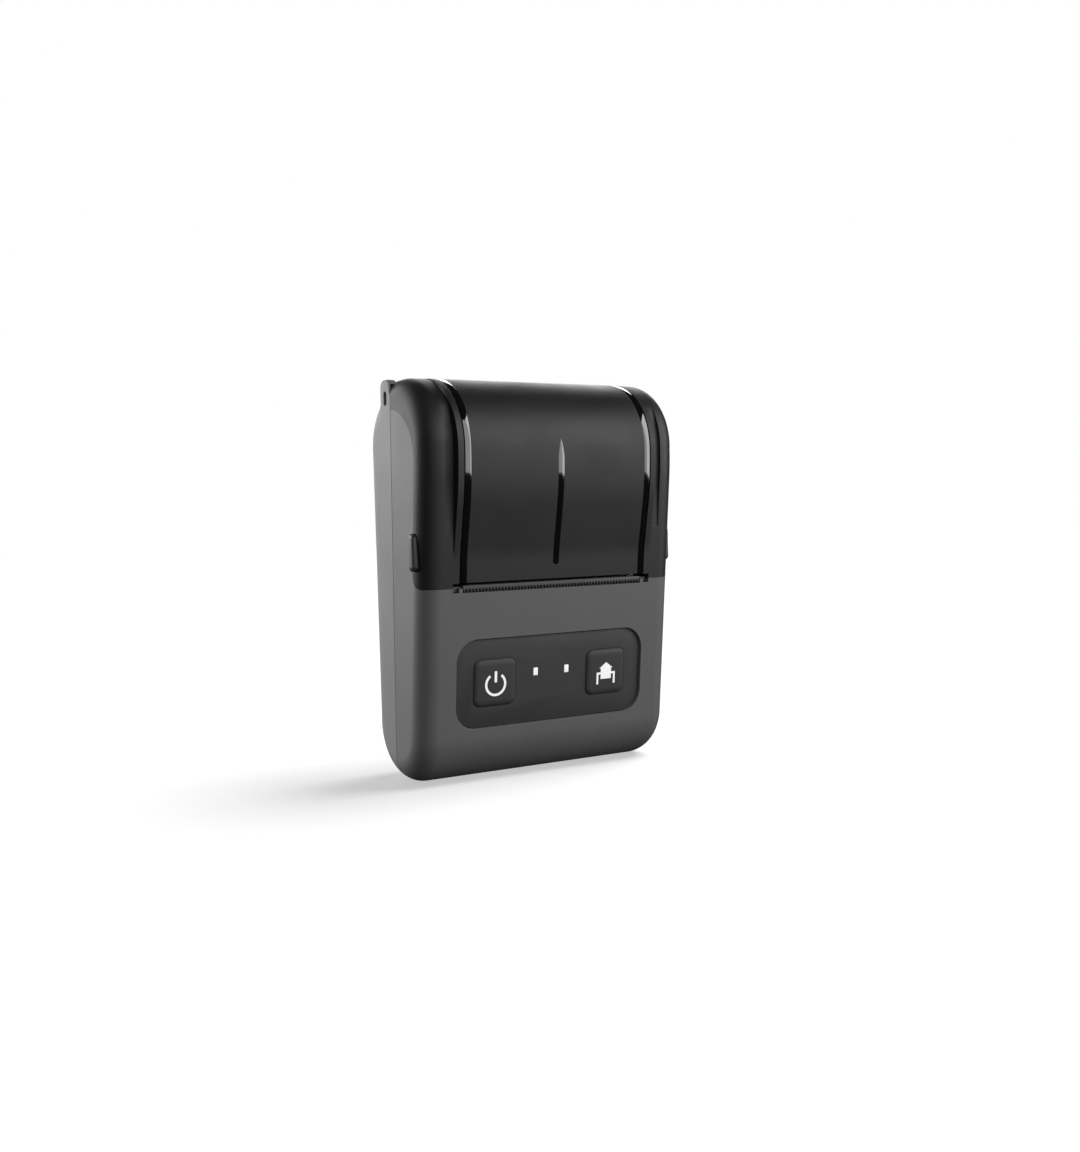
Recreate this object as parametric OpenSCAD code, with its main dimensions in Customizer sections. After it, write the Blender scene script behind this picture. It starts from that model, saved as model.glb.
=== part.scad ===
// Portable receipt printer for 58 mm paper, standing on its lower end.
// X runs to the right, the keys face -Y and Z runs up along the body.
// Places inside the body are given as s, the distance forward from the flat back, and z.

/* [Body] */
// Height of the printer, standing on its lower end
body_h = 116; // [114:0.5:120]
// Width over the flat side walls
body_w = 85.6; // [85:0.1:87]
// Depth at the foot of the front face
base_depth = 31.9; // [31.8:0.1:32.4]
// Forward lean of the lower front face, in degrees
front_lean = 6.2; // [6:0.05:6.4]
// Forward lean of the lid's face, in degrees
lid_lean = 11.9; // [11.6:0.1:12.2]
// Height at which the face takes on the lid's lean
knee_z = 65.45; // [65:0.05:66]
// Height of the line between the dark cover and the grey front
split_z = 56.3; // [56.1:0.1:56.5]
// Radius of the lid's upper face, seen from the side
brow_r = 82; // [78:1:86]
// Radius over the front of the top, seen from the side
nose_r = 20.5; // [20:0.5:21]
// Radius over the back of the top, seen from the side
crown_r = 19; // [18.5:0.5:19.5]
// Radius of the front's upright edges
edge_r = 6; // [5.8:0.1:6.4]
// Radius of the back's upright edges
back_edge_r = 10; // [9:0.1:10.2]
// Radius of the side edges of the top
crest_r = 5.5; // [5:0.5:6]
// Radius of the side edges of the foot
foot_r = 7.5; // [7:0.1:8]
// Radius under the front, seen from the side
toe_r = 15; // [14:0.5:15.5]
// Radius under the back, seen from the side
heel_r = 17.9; // [17.5:0.1:18.2]
// Thickness of the shells
wall = 2; // [1.8:0.1:2.2]
// Distance from the back to the seam, at the foot
seam_s = 17.3; // [17.3:0.05:17.5]
// Forward lean of the seam, in degrees
seam_lean = 1.9; // [1.9:0.1:2.1]

/* [Lid] */
// Width of the lid
lid_w = 62.2; // [61.8:0.1:62.3]
// Thickness of the lid's outer skin
lid_t = 1.5; // [1.4:0.1:1.6]
// Thickness of the liner under it
liner_t = 0.8; // [0.7:0.1:0.9]
// Height of the lid's lower edge
lid_z = 57.8; // [57.7:0.05:57.9]
// Width of a glossy strip
strip_w = 2; // [1.8:0.1:2.1]
// Depth of a glossy strip in the lid
strip_t = 0.7; // [0.5:0.1:0.8]
// Radius of the hinge pin
hinge_pin_r = 1.25; // [1.2:0.05:1.3]

/* [Keys] */
// Width of the key panel
panel_w = 63.2; // [62:0.2:63.4]
// Height of the key panel
panel_h = 25.9; // [25.5:0.1:26.5]
// Height of the panel's centre above the foot
panel_z = 28.6; // [28.4:0.1:28.8]
// Corner radius of the key panel
panel_r = 6.5; // [5.5:0.5:7]
// Side of a key
key_w = 13.8; // [13.4:0.2:14]
// Distance of each key from the middle
key_x = 19; // [18.8:0.1:19.2]
// How far a key goes in
key_travel = 0.7; // [0.5:0.1:0.8]

/* [Printing] */
// Radius of the rubber roller
platen_r = 4.6; // [4.5:0.05:4.65]
// Length of the rubber roller
platen_w = 53; // [52:0.5:53.5]
// Module of the gears
gear_module = 0.5; // [0.5]
// Teeth on the roller's gear
platen_teeth = 20; // [20]
// Teeth on the middle gear
idler_teeth = 22; // [22]
// Teeth on the motor's pinion
pinion_teeth = 12; // [12]
// Radius of the stepper motor
motor_r = 6.5; // [6:0.1:6.6]
// How far a side button goes in
button_travel = 1; // [0.8:0.1:1]

/* [Hidden] */
$fn = 48;

shell_black = [0.12, 0.12, 0.13];
shell_grey = [0.36, 0.36, 0.37];
gloss_black = [0.03, 0.03, 0.035];
steel = [0.72, 0.73, 0.75];
board_green = [0.1, 0.32, 0.2];

// Lines of the front, as the product s * cos(lean) - z * sin(lean)
lower_line = base_depth * cos(front_lean);
knee_s = base_depth + knee_z * tan(front_lean);
upper_line = knee_s * cos(lid_lean) - knee_z * sin(lid_lean);
knee_r = 40;
nose_z = body_h - nose_r;
brow_s = brow_at(upper_line, lid_lean);
shoulder_s = brow_at(lower_line, front_lean);
nose_s = brow_s + brow_r - nose_r;
nose_c = [nose_s, nose_z];
crown_c = [crown_r, body_h - crown_r];
body_depth = nose_s + nose_r;
back_y = body_depth / 2;
half_w = body_w / 2;
edge_steps = 10;

// The lid's face stands proud of the shoulders beside it, down to the knee
land_x = 33.5;
land_wall = 1.1;
land_draft = 0.3;

// The lid's hinge lies on the crown's diagonal, and the lid's rear edge is rolled round it
hinge_in = 9.2;
hinge_c = crown_c + [-hinge_in, hinge_in];
roll_r = crown_r - hinge_in * sqrt(2);
slot_half = lid_w / 2 + 0.3;
lid_in = lid_t + liner_t;
rear_lip_z = 103.5;

// The paper's tub and its walls
tub_in = 29.2;
pocket_in = 31;
tub_out = 32.3;
pocket_z = 82;
pocket_s = 16.4;
floor_z = 65.8;

// The roller and its gears
platen_c = [31.2, 61.85];
motor_c = [24.7, 45.3];
gear_x = 29.2;
gear_w = 1.2;
gear_reach = (platen_teeth + idler_teeth) * gear_module / 2;
pinion_reach = (pinion_teeth + idler_teeth) * gear_module / 2;
train = motor_c - platen_c;
train_l = norm(train);
train_along = (gear_reach * gear_reach - pinion_reach * pinion_reach + train_l * train_l) / (2 * train_l);
train_off = sqrt(gear_reach * gear_reach - train_along * train_along);
idler_c = platen_c + train_along * train / train_l + train_off * [train[1], -train[0]] / train_l;

// The head and its frame
plate_in = 27.4;
plate_out = 28.6;
head_top = 56.3;
strip_top = 57.1;
head_pin_c = [21.7, 53.8];
frame_front_s = 34;
ear_x = 33;
ear_z = 47;
head_front_s = 34.4;
mouth_x = 30.3;
mouth_z = 55;
clip_s = 36.5;

// Side buttons and the levers that lift the lid
button_s = [31.7, 34.9];
button_z = [61.6, 71.7];
button_out = half_w + 1.1;
carrier_x = 38;
stem_x = 35.95;
stem_c = [23.7, 69.5];
lifter_x = 35;
lifter_s = 28.7;
lifter_z = [68.5, 70.5];
lifter_half = 0.8;
lifter_tip_x = 29.6;
spring_c = [30.8, 63.9];

// Boards, battery and door
board_s = 19.4;
board_t = 1.2;
bay_x = 27.2;
bay_z = [20.6, 60.2];
bay_s = 16.4;
lining = 1.2;
rim = 3.4;
door_x = 29;
door_z = [18.4, 61.8];
door_t = 1.6;
door_pin_c = [door_t / 2, door_z[0] + door_t / 2];
screw_x = 36;
screw_z = [20, 96];
boss_r = 3.6;
board_screw_x = 24;
board_screw_z = [24, 35];
key_screw_x = 35.6;
key_screw_y = 7.5;
key_board_top = -7.4;
key_bottom = -4.6;
boss_end_s = 24.4;
contact_x = [-14, -10, 10];
usb_s = 22.4;
usb_z = 31;

// Depth of the front face at a height
function face_s(z) = z < knee_z ? base_depth + z * tan(front_lean) : knee_s + (z - knee_z) * tan(lid_lean);

// Distance that an edge of radius r has turned in, at distance d from the side wall
function turned(r, d) = d >= r ? 0 : r - sqrt(r * r - (r - d) * (r - d));

// Place in s of the centre of the arc that runs up from a leaning line of the front
function brow_at(line, lean) = (line - brow_r + nose_z * sin(lean)) / cos(lean);

function arc(c, r, from, to, steps) =
    [for (i = [0:steps]) c + r * [cos(from + (to - from) * i / steps), sin(from + (to - from) * i / steps)]];

// An arc of radius r whose distance inside that radius goes from i0 to i1
function blend(c, r, i0, i1, from, to, steps) =
    [for (i = [0:steps]) let (k = i / steps, a = from + (to - from) * k)
        c + (r - i0 - (i1 - i0) * k) * [cos(a), sin(a)]];

// Side outline of the body, with its front, top, back and foot moved in by f, c, b and q.
// The outline of the lid and its land has a knee, the one of the shoulders runs straight up.
function profile(f, c, b, q, shoulder = false) =
    let (
        toe_s = (lower_line - toe_r + toe_r * sin(front_lean)) / cos(front_lean),
        mid_lean = (front_lean + lid_lean) / 2,
        dip_c = [knee_s, knee_z] + knee_r / cos((lid_lean - front_lean) / 2) * [cos(mid_lean), -sin(mid_lean)],
        up = [sin(front_lean), cos(front_lean)],
        top_lean = shoulder ? front_lean : lid_lean,
        brow_c = [shoulder ? shoulder_s : brow_s, nose_z]
    )
    concat(
        blend([heel_r, heel_r], heel_r, b, q, 180, 270, 7),
        blend([toe_s, toe_r], toe_r, q, f, 270, 360 - front_lean, 7),
        [for (a = [0:3]) let (lean = front_lean + (top_lean - front_lean) * a / 3)
            dip_c - (knee_r + f) * [cos(lean), -sin(lean)] + (shoulder ? a * up : [0, 0])],
        arc(brow_c, brow_r - f, 360 - top_lean, 357, 5),
        blend(nose_c, nose_r, f + brow_s - brow_c[0], c, 0, 90, 12),
        blend(crown_c, crown_r, c, b, 90, 126, 4),
        blend(crown_c, crown_r, b, b, 135, 180, 5)
    );

// Side outline at distance d from the side wall, t inside the surface
function outline(d, t, shoulder) = profile(t + turned(edge_r - t, d), t + turned(crest_r - t, d),
    t + turned(back_edge_r - t, d), t + turned(foot_r - t, d), shoulder);

// Side outline away from the side walls, t inside the surface
function side(t) = profile(t, t, t, t);

// The body's whole volume, t inside its surface
module body_solid(t) {
    half = half_w - t;
    shoulder_w = half - land_x + land_wall * t / wall;
    to_land = [for (k = [0:edge_steps]) [shoulder_w * k * k / (edge_steps * edge_steps), true]];
    st = concat(to_land, [[shoulder_w + land_draft, false], [shoulder_w + 4 * land_draft, false]]);
    last = len(st) - 1;
    xs = concat([for (e = st) e[0] - half], [for (k = [last:-1:0]) half - st[k][0]]);
    rings = [for (e = concat(st, [for (k = [last:-1:0]) st[k]])) outline(e[0], t, e[1])];
    n = len(rings[0]);
    m = len(xs);
    points = [for (j = [0:m - 1]) for (p = rings[j]) [xs[j], back_y - p[0], p[1]]];
    sides = [for (j = [0:m - 2]) for (i = [0:n - 1]) let (k = (i + 1) % n)
        [j * n + i, j * n + k, (j + 1) * n + k, (j + 1) * n + i]];
    ends = [[for (i = [n - 1:-1:0]) i], [for (i = [0:n - 1]) (m - 1) * n + i]];
    polyhedron(points, concat(sides, ends), convexity = 6);
}

module skin() {
    difference() {
        body_solid(0);
        body_solid(wall);
    }
}

// Extrudes an outline drawn in s and z along X
module along_x(x0, x1) {
    translate([x0, back_y, 0])
        mirror([0, 1, 0])
            rotate([90, 0, 90])
                linear_extrude(x1 - x0)
                    children();
}

module rod(x0, x1, c, r) {
    along_x(x0, x1) translate(c) circle(r);
}

// A box between x0 and x1, s0 and s1, z0 and z1
module block(x0, x1, s0, s1, z0, z1) {
    translate([x0, back_y - s1, z0]) cube([x1 - x0, s1 - s0, z1 - z0]);
}

// A rod that runs forward from s0 to s1
module peg(x, z, s0, s1, r) {
    translate([x, back_y - s0, z]) rotate([90, 0, 0]) cylinder(r = r, h = s1 - s0);
}

// An upright rod
module post(x, s, z0, z1, r) {
    translate([x, back_y - s, z0]) cylinder(r = r, h = z1 - z0);
}

// Draws its children once on each side
module both_sides() {
    children();
    mirror([1, 0, 0]) children();
}

// Places children on the lower front face: X across, Y up the face and Z out of it
module on_front(z) {
    translate([0, back_y - face_s(z), z]) rotate([90 + front_lean, 0, 0]) children();
}

module rounded(w, h, r) {
    for (x = [r - w / 2, w / 2 - r], y = [r - h / 2, h / 2 - r]) translate([x, y]) circle(r);
    square([w - 2 * r, h], center = true);
    square([w, h - 2 * r], center = true);
}

module plate(w, h, r, z0, z1) {
    translate([0, 0, z0]) linear_extrude(z1 - z0) rounded(w, h, r);
}

function seam_at(z) = seam_s + z * tan(seam_lean);

// Everything behind the seam
module behind_seam() {
    along_x(-60, 60) polygon([[-9, -9], [seam_at(-9), -9], [seam_at(130), 130], [-9, 130]]);
}

module before_seam() {
    along_x(-60, 60) polygon([[70, -9], [seam_at(-9), -9], [seam_at(130), 130], [70, 130]]);
}

// The part of the side walls that belongs to the grey front shell
module cheek_zone() {
    cheek_in = 5.9;
    corner_r = 3.8;
    corner_s = face_s(split_z) - cheek_in + corner_r;
    top_c = [20.2, 92.2];
    top_r = 15;
    along_x(-60, 60) polygon(concat(
        [[-9, 40], [corner_s, 40]],
        arc([corner_s, split_z + corner_r], corner_r, 270, 180, 6),
        arc(top_c, top_r, 0, 90, 9),
        [[-9, top_c[1] + top_r]]
    ));
}

// A wall that follows the lid's outline, from t0 to t1 inside it
module lid_band(x0, x1, t0, t1) {
    along_x(x0, x1) difference() {
        intersection() {
            polygon(side(t0));
            polygon([hinge_c, hinge_c + [-30, 30], [80, 150], [80, lid_z], [14, lid_z], [14, 90]]);
        }
        polygon(side(t1));
    }
}

// A helical spring along Z: mean radius, wire radius, length and turns
module coil(r, wire, h, turns) {
    sides = 6;
    per_turn = 14;
    steps = turns * per_turn;
    rise = h - 2 * wire;
    points = [for (i = [0:steps], j = [0:sides - 1])
        let (a = 360 * i / per_turn, w = 360 * j / sides)
        [(r + wire * cos(w)) * cos(a), (r + wire * cos(w)) * sin(a), wire + rise * i / steps + wire * sin(w)]];
    walls = [for (i = [0:steps - 1], j = [0:sides - 1]) let (k = (j + 1) % sides)
        [i * sides + j, i * sides + k, (i + 1) * sides + k, (i + 1) * sides + j]];
    ends = [[for (j = [sides - 1:-1:0]) j], [for (j = [0:sides - 1]) steps * sides + j]];
    polyhedron(points, concat(walls, ends), convexity = 10);
}

// Gear outline with involute flanks, one tooth centred on the given direction
module gear_outline(teeth, direction) {
    pitch_r = teeth * gear_module / 2;
    pressure = 25;
    base_r = pitch_r * cos(pressure);
    tip_r = pitch_r + 0.8 * gear_module;
    root_r = pitch_r - 1.1 * gear_module;
    backlash = 0.04;
    half_tooth = 90 / teeth - backlash / pitch_r * 90 / PI;
    function spread(a) = tan(a) * 180 / PI - a;
    function flank(r) = half_tooth + spread(pressure) - spread(acos(min(1, base_r / r)));
    radii = [for (i = [0:4]) max(root_r, base_r) + (tip_r - max(root_r, base_r)) * i / 4];
    polygon([for (k = [0:teeth - 1]) let (a = direction + 360 * k / teeth) each concat(
        [root_r * [cos(a - flank(radii[0])), sin(a - flank(radii[0]))]],
        [for (r = radii) r * [cos(a - flank(r)), sin(a - flank(r))]],
        [for (i = [4:-1:0]) radii[i] * [cos(a + flank(radii[i])), sin(a + flank(radii[i]))]],
        [root_r * [cos(a + flank(radii[0])), sin(a + flank(radii[0]))]]
    )]);
}

// The two lamps above the middle of the key panel
module at_lamps() {
    on_front(panel_z) for (x = [-5.3, 5.3]) translate([x, 2, 0]) children();
}

module at_key_screws() {
    on_front(panel_z) for (x = [-key_screw_x, key_screw_x], y = [-key_screw_y, key_screw_y])
        translate([x, y, 0]) children();
}

function direction(v) = atan2(v[1], v[0]);

to_idler = direction(idler_c - platen_c);
idler_turn = to_idler + 180 + 180 / idler_teeth;
to_pinion = direction(motor_c - idler_c);
idler_pitch = 360 / idler_teeth;
idler_lag = (to_pinion - idler_turn) - idler_pitch * floor((to_pinion - idler_turn) / idler_pitch);
pinion_turn = to_pinion + 180 + idler_lag * idler_teeth / pinion_teeth + 180 / pinion_teeth;

module rear_shell() {
    color(shell_grey) difference() {
        union() {
            intersection() {
                skin();
                behind_seam();
            }
            strap_lug();
            battery_bay();
            intersection() {
                both_sides() for (z = screw_z) peg(screw_x, z, 1, seam_at(z) - 0.2, boss_r);
                body_solid(0.5);
            }
            both_sides() for (z = board_screw_z) peg(board_screw_x, z, bay_s, board_s, 2);
        }
        block(-slot_half, slot_half, -1, 30, rear_lip_z, 130);
        block(-door_x - 0.2, door_x + 0.2, -1, door_t + 0.1, door_z[0] - 0.2, door_z[1] + 0.2);
        block(-bay_x, bay_x, -1, bay_s, bay_z[0], bay_z[1]);
        rod(-door_x - 1.1, door_x + 1.1, door_pin_c, 0.5);
        both_sides() for (z = screw_z) {
            peg(screw_x, z, -1, 3.5, 2.7);
            peg(screw_x, z, 3, 30, 1.3);
        }
        both_sides() for (z = board_screw_z) peg(board_screw_x, z, board_s - 2.4, board_s + 1, 0.8);
        for (x = contact_x) block(x - 1.6, x + 1.6, bay_s - 1, board_s, 43, 46);
    }
}

// An ear at the top left corner with a slot for a wrist strap
module strap_lug() {
    lug_s = [14.2, 20.5];
    lug_x = [0.1 - half_w, 2.7 - half_w];
    lug_r = 2.4;
    slot_c = [17.6, 110.2];
    slot_r = 1;
    slot_h = 2;
    difference() {
        along_x(lug_x[0], lug_x[1]) difference() {
            union() {
                translate([lug_s[0], 100]) square([lug_s[1] - lug_s[0], body_h - 100 - lug_r]);
                translate([lug_s[0] + lug_r, 100]) square([lug_s[1] - lug_s[0] - 2 * lug_r, body_h - 100]);
                for (s = [lug_s[0] + lug_r, lug_s[1] - lug_r])
                    translate([s, body_h - lug_r]) circle(lug_r);
            }
            for (z = [0, slot_h]) translate(slot_c + [0, z]) circle(slot_r);
            translate(slot_c - [slot_r, 0]) square([2 * slot_r, slot_h]);
        }
        body_solid(wall);
    }
}

// Open box behind the door, which holds the battery
module battery_bay() {
    block(-bay_x - rim, bay_x + rim, door_t + 0.1, 3, bay_z[0] - rim, bay_z[1] + rim);
    block(-bay_x - lining, bay_x + lining, door_t + 0.1, bay_s + lining, bay_z[0] - lining, bay_z[1] + lining);
}

module front_shell() {
    color(shell_grey) difference() {
        union() {
            intersection() {
                skin();
                before_seam();
                union() {
                    cheek_zone();
                    block(-60, 60, 0, 70, -1, split_z);
                }
            }
            intersection() {
                both_sides() for (z = screw_z) {
                    peg(screw_x, z, seam_at(z) + 0.2, boss_end_s, boss_r);
                    block(screw_x, half_w, seam_at(z) + 0.2, boss_end_s, z - 1, z + 1);
                }
                body_solid(0.5);
            }
            both_sides() peg(ear_x, ear_z, frame_front_s, face_s(ear_z) - 1, 2.6);
            at_key_screws() translate([0, 0, key_board_top]) cylinder(r = 1.9, h = 6);
        }
        on_front(panel_z) plate(panel_w, panel_h, panel_r, -5, 2);
        both_sides() for (z = screw_z) peg(screw_x, z, 10, boss_end_s - 1.2, 1.2);
        both_sides() peg(ear_x, ear_z, frame_front_s - 1, face_s(ear_z) - 1.4, 0.9);
        at_key_screws() translate([0, 0, key_board_top - 1]) cylinder(r = 0.8, h = 5);
        mouth_cut();
        both_sides() button_cut();
        usb_cut();
    }
}

// The notch of the tear bar and the small windows of its clips
module mouth_cut() {
    block(-mouth_x, mouth_x, 30, 60, mouth_z, lid_z + 0.1);
    both_sides() {
        block(31.4, 33.4, 35, 60, 55.1, 57.6);
        block(mouth_x - 1, 33.4, 34, clip_s + 0.1, 55.1, 57);
    }
}

module button_cut() {
    block(30, 50, button_s[0] - 0.2, button_s[1] + 0.2, button_z[0] - 0.2, button_z[1] + 0.2);
}

module usb_cut() {
    along_x(half_w - 4, half_w + 2) translate([usb_s, usb_z]) rotate(90) rounded(10, 4.2, 2);
}

module top_cover() {
    color(shell_black) difference() {
        union() {
            difference() {
                intersection() {
                    skin();
                    before_seam();
                    block(-60, 60, 0, 70, split_z, 130);
                }
                cheek_zone();
            }
            tub();
        }
        block(-slot_half, slot_half, 30, 70, split_z - 1, 100);
        lid_slot();
        mouth_cut();
        both_sides() {
            button_cut();
            block(29, 33, 27.2, 31.4, lifter_z[0] - 0.3, lifter_z[1] + 0.3);
        }
        rod(-tub_out - 1, tub_out + 1, hinge_c, hinge_pin_r);
    }
}

// What the lid takes out of the cover: a slot in the skin, with ledges left under its edges
module lid_slot() {
    along_x(-slot_half, slot_half) difference() {
        translate([-5, split_z - 1]) square([70, 70]);
        polygon(side(lid_in + 0.2));
    }
    difference() {
        union() {
            rod(-slot_half, slot_half, hinge_c, roll_r + 0.4);
            block(-slot_half, slot_half, 0, hinge_c[0], hinge_c[1] - 8.5, hinge_c[1] + 2);
        }
        both_sides() rod(tub_in, slot_half + 1, hinge_c, roll_r - lid_t - 0.4);
    }
}

// Side walls and floor of the space for the paper roll
module tub() {
    floor_t = 1.4;
    front_s = 24.2;
    both_sides() {
        difference() {
            along_x(tub_in, tub_out) intersection() {
                union() {
                    polygon(side(wall + 0.2));
                    intersection() {
                        polygon(side(wall - 0.5));
                        polygon([[70, 50], [seam_at(50) + 0.4, 50], [seam_at(130) + 0.4, 130], [70, 130]]);
                    }
                }
                translate([2, lid_z]) square([60, 70]);
            }
            block(tub_in - 1, pocket_in, pocket_s, 60, 50, pocket_z);
            block(tub_in - 1, 40, -1, pocket_s - 2, 50, floor_z - floor_t);
        }
        lifter_shelf();
        block(tub_out - 0.3, carrier_x - button_travel - 0.1, 24, 26, 61.5, 63.5);
    }
    block(-tub_in - 0.5, tub_in + 0.5, 2.2, front_s + 1.2, floor_z - floor_t, floor_z);
    block(0.3 - tub_in, tub_in - 0.3, front_s, front_s + 1.2, 58, floor_z);
}

// Shelf and pin that carry the lever beside the tub
module lifter_shelf() {
    block(tub_out - 0.3, 36.8, lifter_s - 2.5, lifter_s + 2.5, lifter_z[0] - 1.7, lifter_z[0] - 0.3);
    post(lifter_x, lifter_s, lifter_z[0] - 0.5, lifter_z[1] + 0.4, 1);
}

module battery_door() {
    color(shell_grey) difference() {
        union() {
            along_x(-door_x, door_x) {
                translate([0, door_pin_c[1]]) square([door_t, door_z[1] - door_pin_c[1]]);
                translate(door_pin_c) circle(door_t / 2);
            }
            rod(-door_x - 0.9, door_x + 0.9, door_pin_c, 0.45);
        }
        block(-6, 6, -1, 0.7, door_z[1] - 6, door_z[1] - 3);
    }
}

module screw(x, z, s0, head_r, head_h, r, length) {
    difference() {
        union() {
            peg(x, z, s0, s0 + head_h, head_r);
            peg(x, z, s0, s0 + length, r);
        }
        for (a = [0, 90]) translate([x, back_y - s0, z]) rotate([0, a, 0])
            cube([head_r * 1.1, head_h * 0.9, head_r * 0.3], center = true);
    }
}

module case_screws() {
    color(steel) both_sides() for (z = screw_z) screw(screw_x, z, 1.9, 2.4, 1.6, 1.2, 21);
}

module lid() {
    inner = lid_w / 2 - strip_w;
    color(shell_black) difference() {
        union() {
            lid_band(-inner, inner, 0, lid_t);
            lid_band(-lid_w / 2, lid_w / 2, strip_t, lid_t);
            lid_roll();
        }
        centre_groove();
        rod(gear_x - 0.4, gear_x + gear_w + 0.4, platen_c, 5.9);
    }
}

// The lid's rear edge, rolled round the hinge
module lid_roll() {
    along_x(-lid_w / 2, lid_w / 2) intersection() {
        difference() {
            translate(hinge_c) circle(roll_r);
            translate(hinge_c) circle(roll_r - lid_t);
        }
        polygon([hinge_c, hinge_c + [-20, 20], hinge_c + [-40, 0], hinge_c + [-20, -8]]);
    }
}

// Space of the middle strip: round below and pointed above
module centre_groove() {
    half = strip_w / 2;
    intersection() {
        lid_band(-half - 1, half + 1, 0, strip_t);
        translate([0, back_y, 0]) rotate([90, 0, 0]) linear_extrude(80) {
            translate([0, 62.8]) circle(half);
            polygon([[-half, 62.8], [half, 62.8], [half, 93], [0, 98], [-half, 93]]);
        }
    }
}

module lid_liner() {
    edge = 28.7;
    bracket_in = 27.2;
    color(shell_black) difference() {
        union() {
            along_x(-edge, edge) difference() {
                intersection() {
                    polygon(side(lid_t));
                    polygon([hinge_c, hinge_c + [-30, 30], [80, 150], [80, 68], [30, 68], [14, 90]]);
                }
                polygon(side(lid_in));
            }
            both_sides() {
                along_x(bracket_in, edge - 0.1) intersection() {
                    polygon(side(lid_t));
                    union() {
                        translate(platen_c) circle(3.4);
                        polygon([[28.5, 62.5], [30.1, 71], [50, 75], [50, 59.5], [33.1, 59.5]]);
                    }
                }
                along_x(edge - 3, edge) intersection() {
                    polygon(side(lid_t));
                    union() {
                        translate(hinge_c) circle(3.2);
                        translate(hinge_c + [0, -3.2]) square([6, 13]);
                    }
                }
                block(edge - 0.2, 30.3, 30.8, face_s(68.3) - lid_t - 0.1, 68.3, 70.7);
            }
        }
        rod(-40, 40, hinge_c, hinge_pin_r + 0.05);
        rod(-edge - 1, edge + 1, platen_c, 2.6);
    }
}

module lid_strip_left() {
    color(gloss_black) lid_band(-lid_w / 2, -lid_w / 2 + strip_w, 0, strip_t);
}

module lid_strip_right() {
    color(gloss_black) lid_band(lid_w / 2 - strip_w, lid_w / 2, 0, strip_t);
}

module lid_strip_centre() {
    color(gloss_black) centre_groove();
}

module hinge_pin() {
    color(steel) rod(-tub_out, tub_out, hinge_c, hinge_pin_r);
}

module platen_shaft() {
    color(steel) {
        rod(-29.9, gear_x + gear_w, platen_c, 1.5);
        rod(-29.5, -28.9, platen_c, 2.3);
    }
}

module platen_rubber() {
    color(gloss_black) difference() {
        rod(-platen_w / 2, platen_w / 2, platen_c, platen_r);
        rod(-platen_w, platen_w, platen_c, 1.5);
    }
}

module platen_gear() {
    color("ivory") difference() {
        along_x(gear_x, gear_x + gear_w) translate(platen_c) gear_outline(platen_teeth, to_idler);
        rod(gear_x - 1, gear_x + gear_w + 1, platen_c, 1.5);
    }
}

module platen_bushes() {
    color([0.6, 0.5, 0.3]) both_sides() difference() {
        rod(27.2, 28.6, platen_c, 2.6);
        rod(27, 29, platen_c, 1.55);
    }
}

// Serrated bar in front of the paper's way out
module tear_bar() {
    pitch = 1.06;
    count = 57;
    tooth_z = 56.05;
    back = 34.9;
    front = face_s(tooth_z) - 0.1;
    edge = mouth_x - 0.2;
    color(shell_black) {
        block(-edge, edge, back, front, tooth_z, 56.9);
        block(-edge, edge, back, front - 1.2, mouth_z + 0.1, tooth_z + 0.1);
        for (i = [0:count - 1]) translate([(i - (count - 1) / 2) * pitch, back_y - front + 1.3, tooth_z])
            rotate([90, 0, 0]) linear_extrude(1.3) polygon([[-0.36, 0.1], [0.36, 0.1], [0, -0.9]]);
        both_sides() block(edge - 0.5, 33.2, back, clip_s, 55.3, 56.8);
    }
}

module mech_frame() {
    color(steel) difference() {
        union() {
            both_sides() along_x(plate_in, plate_out) polygon([[18.9, 41.5], [29, 41.5],
                [frame_front_s, 44.5], [frame_front_s, 53.5], [32, 56], [18.9, 56]]);
            block(-36, 36, frame_front_s - 1.2, frame_front_s, 44, 50);
            block(-12, 12, 26.7, frame_front_s, 48.4, 49.6);
            rod(plate_out - 0.1, gear_x + gear_w + 0.1, idler_c, 1);
        }
        both_sides() peg(ear_x, ear_z, 30, 40, 1);
        rod(-40, 40, head_pin_c, 0.8);
        rod(20, 29, motor_c, 1.6);
    }
}

module mech_screws() {
    color(steel) both_sides() screw(ear_x, ear_z, frame_front_s - 2.4, 2, 1.2, 0.9, 3.6);
}

// Heat sink that carries the heater strip and turns on its pin
module print_head() {
    color([0.78, 0.79, 0.8]) difference() {
        union() {
            block(-26.5, 26.5, 23.2, head_front_s, 53, head_top);
            for (x = [-20, 20]) block(x - 4, x + 4, 20.2, 23.7, 52.3, 55.3);
        }
        rod(-40, 40, head_pin_c, 0.85);
        for (i = [-4:4]) block(i * 5.6 - 1, i * 5.6 + 1, 30.5, 36, 52, 54.2);
    }
}

module heater_strip() {
    color("linen") block(-26.5, 26.5, 27.6, head_front_s, head_top, strip_top);
}

module head_pin() {
    color(steel) rod(-plate_out, plate_out, head_pin_c, 0.8);
}

module head_springs() {
    color(steel) for (x = [-9, 9]) translate([x, back_y - 28.6, 49.6]) coil(1.6, 0.25, 3.4, 4);
}

// Flat cable from the head down to the main board
module head_flex() {
    color([0.75, 0.45, 0.15]) along_x(-8, 8)
        polygon([[24.2, 53], [24.6, 53], [24.2, 51], [21.6, 48.6], [20.9, 46.5], [20.9, 36.4], [20.6, 36.4],
            [20.6, 46.7], [21.3, 48.9], [23.9, 51.2]]);
}

module motor() {
    color(steel) difference() {
        union() {
            rod(13, plate_in - 0.5, motor_c, motor_r);
            rod(plate_in - 0.5, plate_in, motor_c, 5);
        }
        rod(20, 40, motor_c, 1.1);
    }
}

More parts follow.
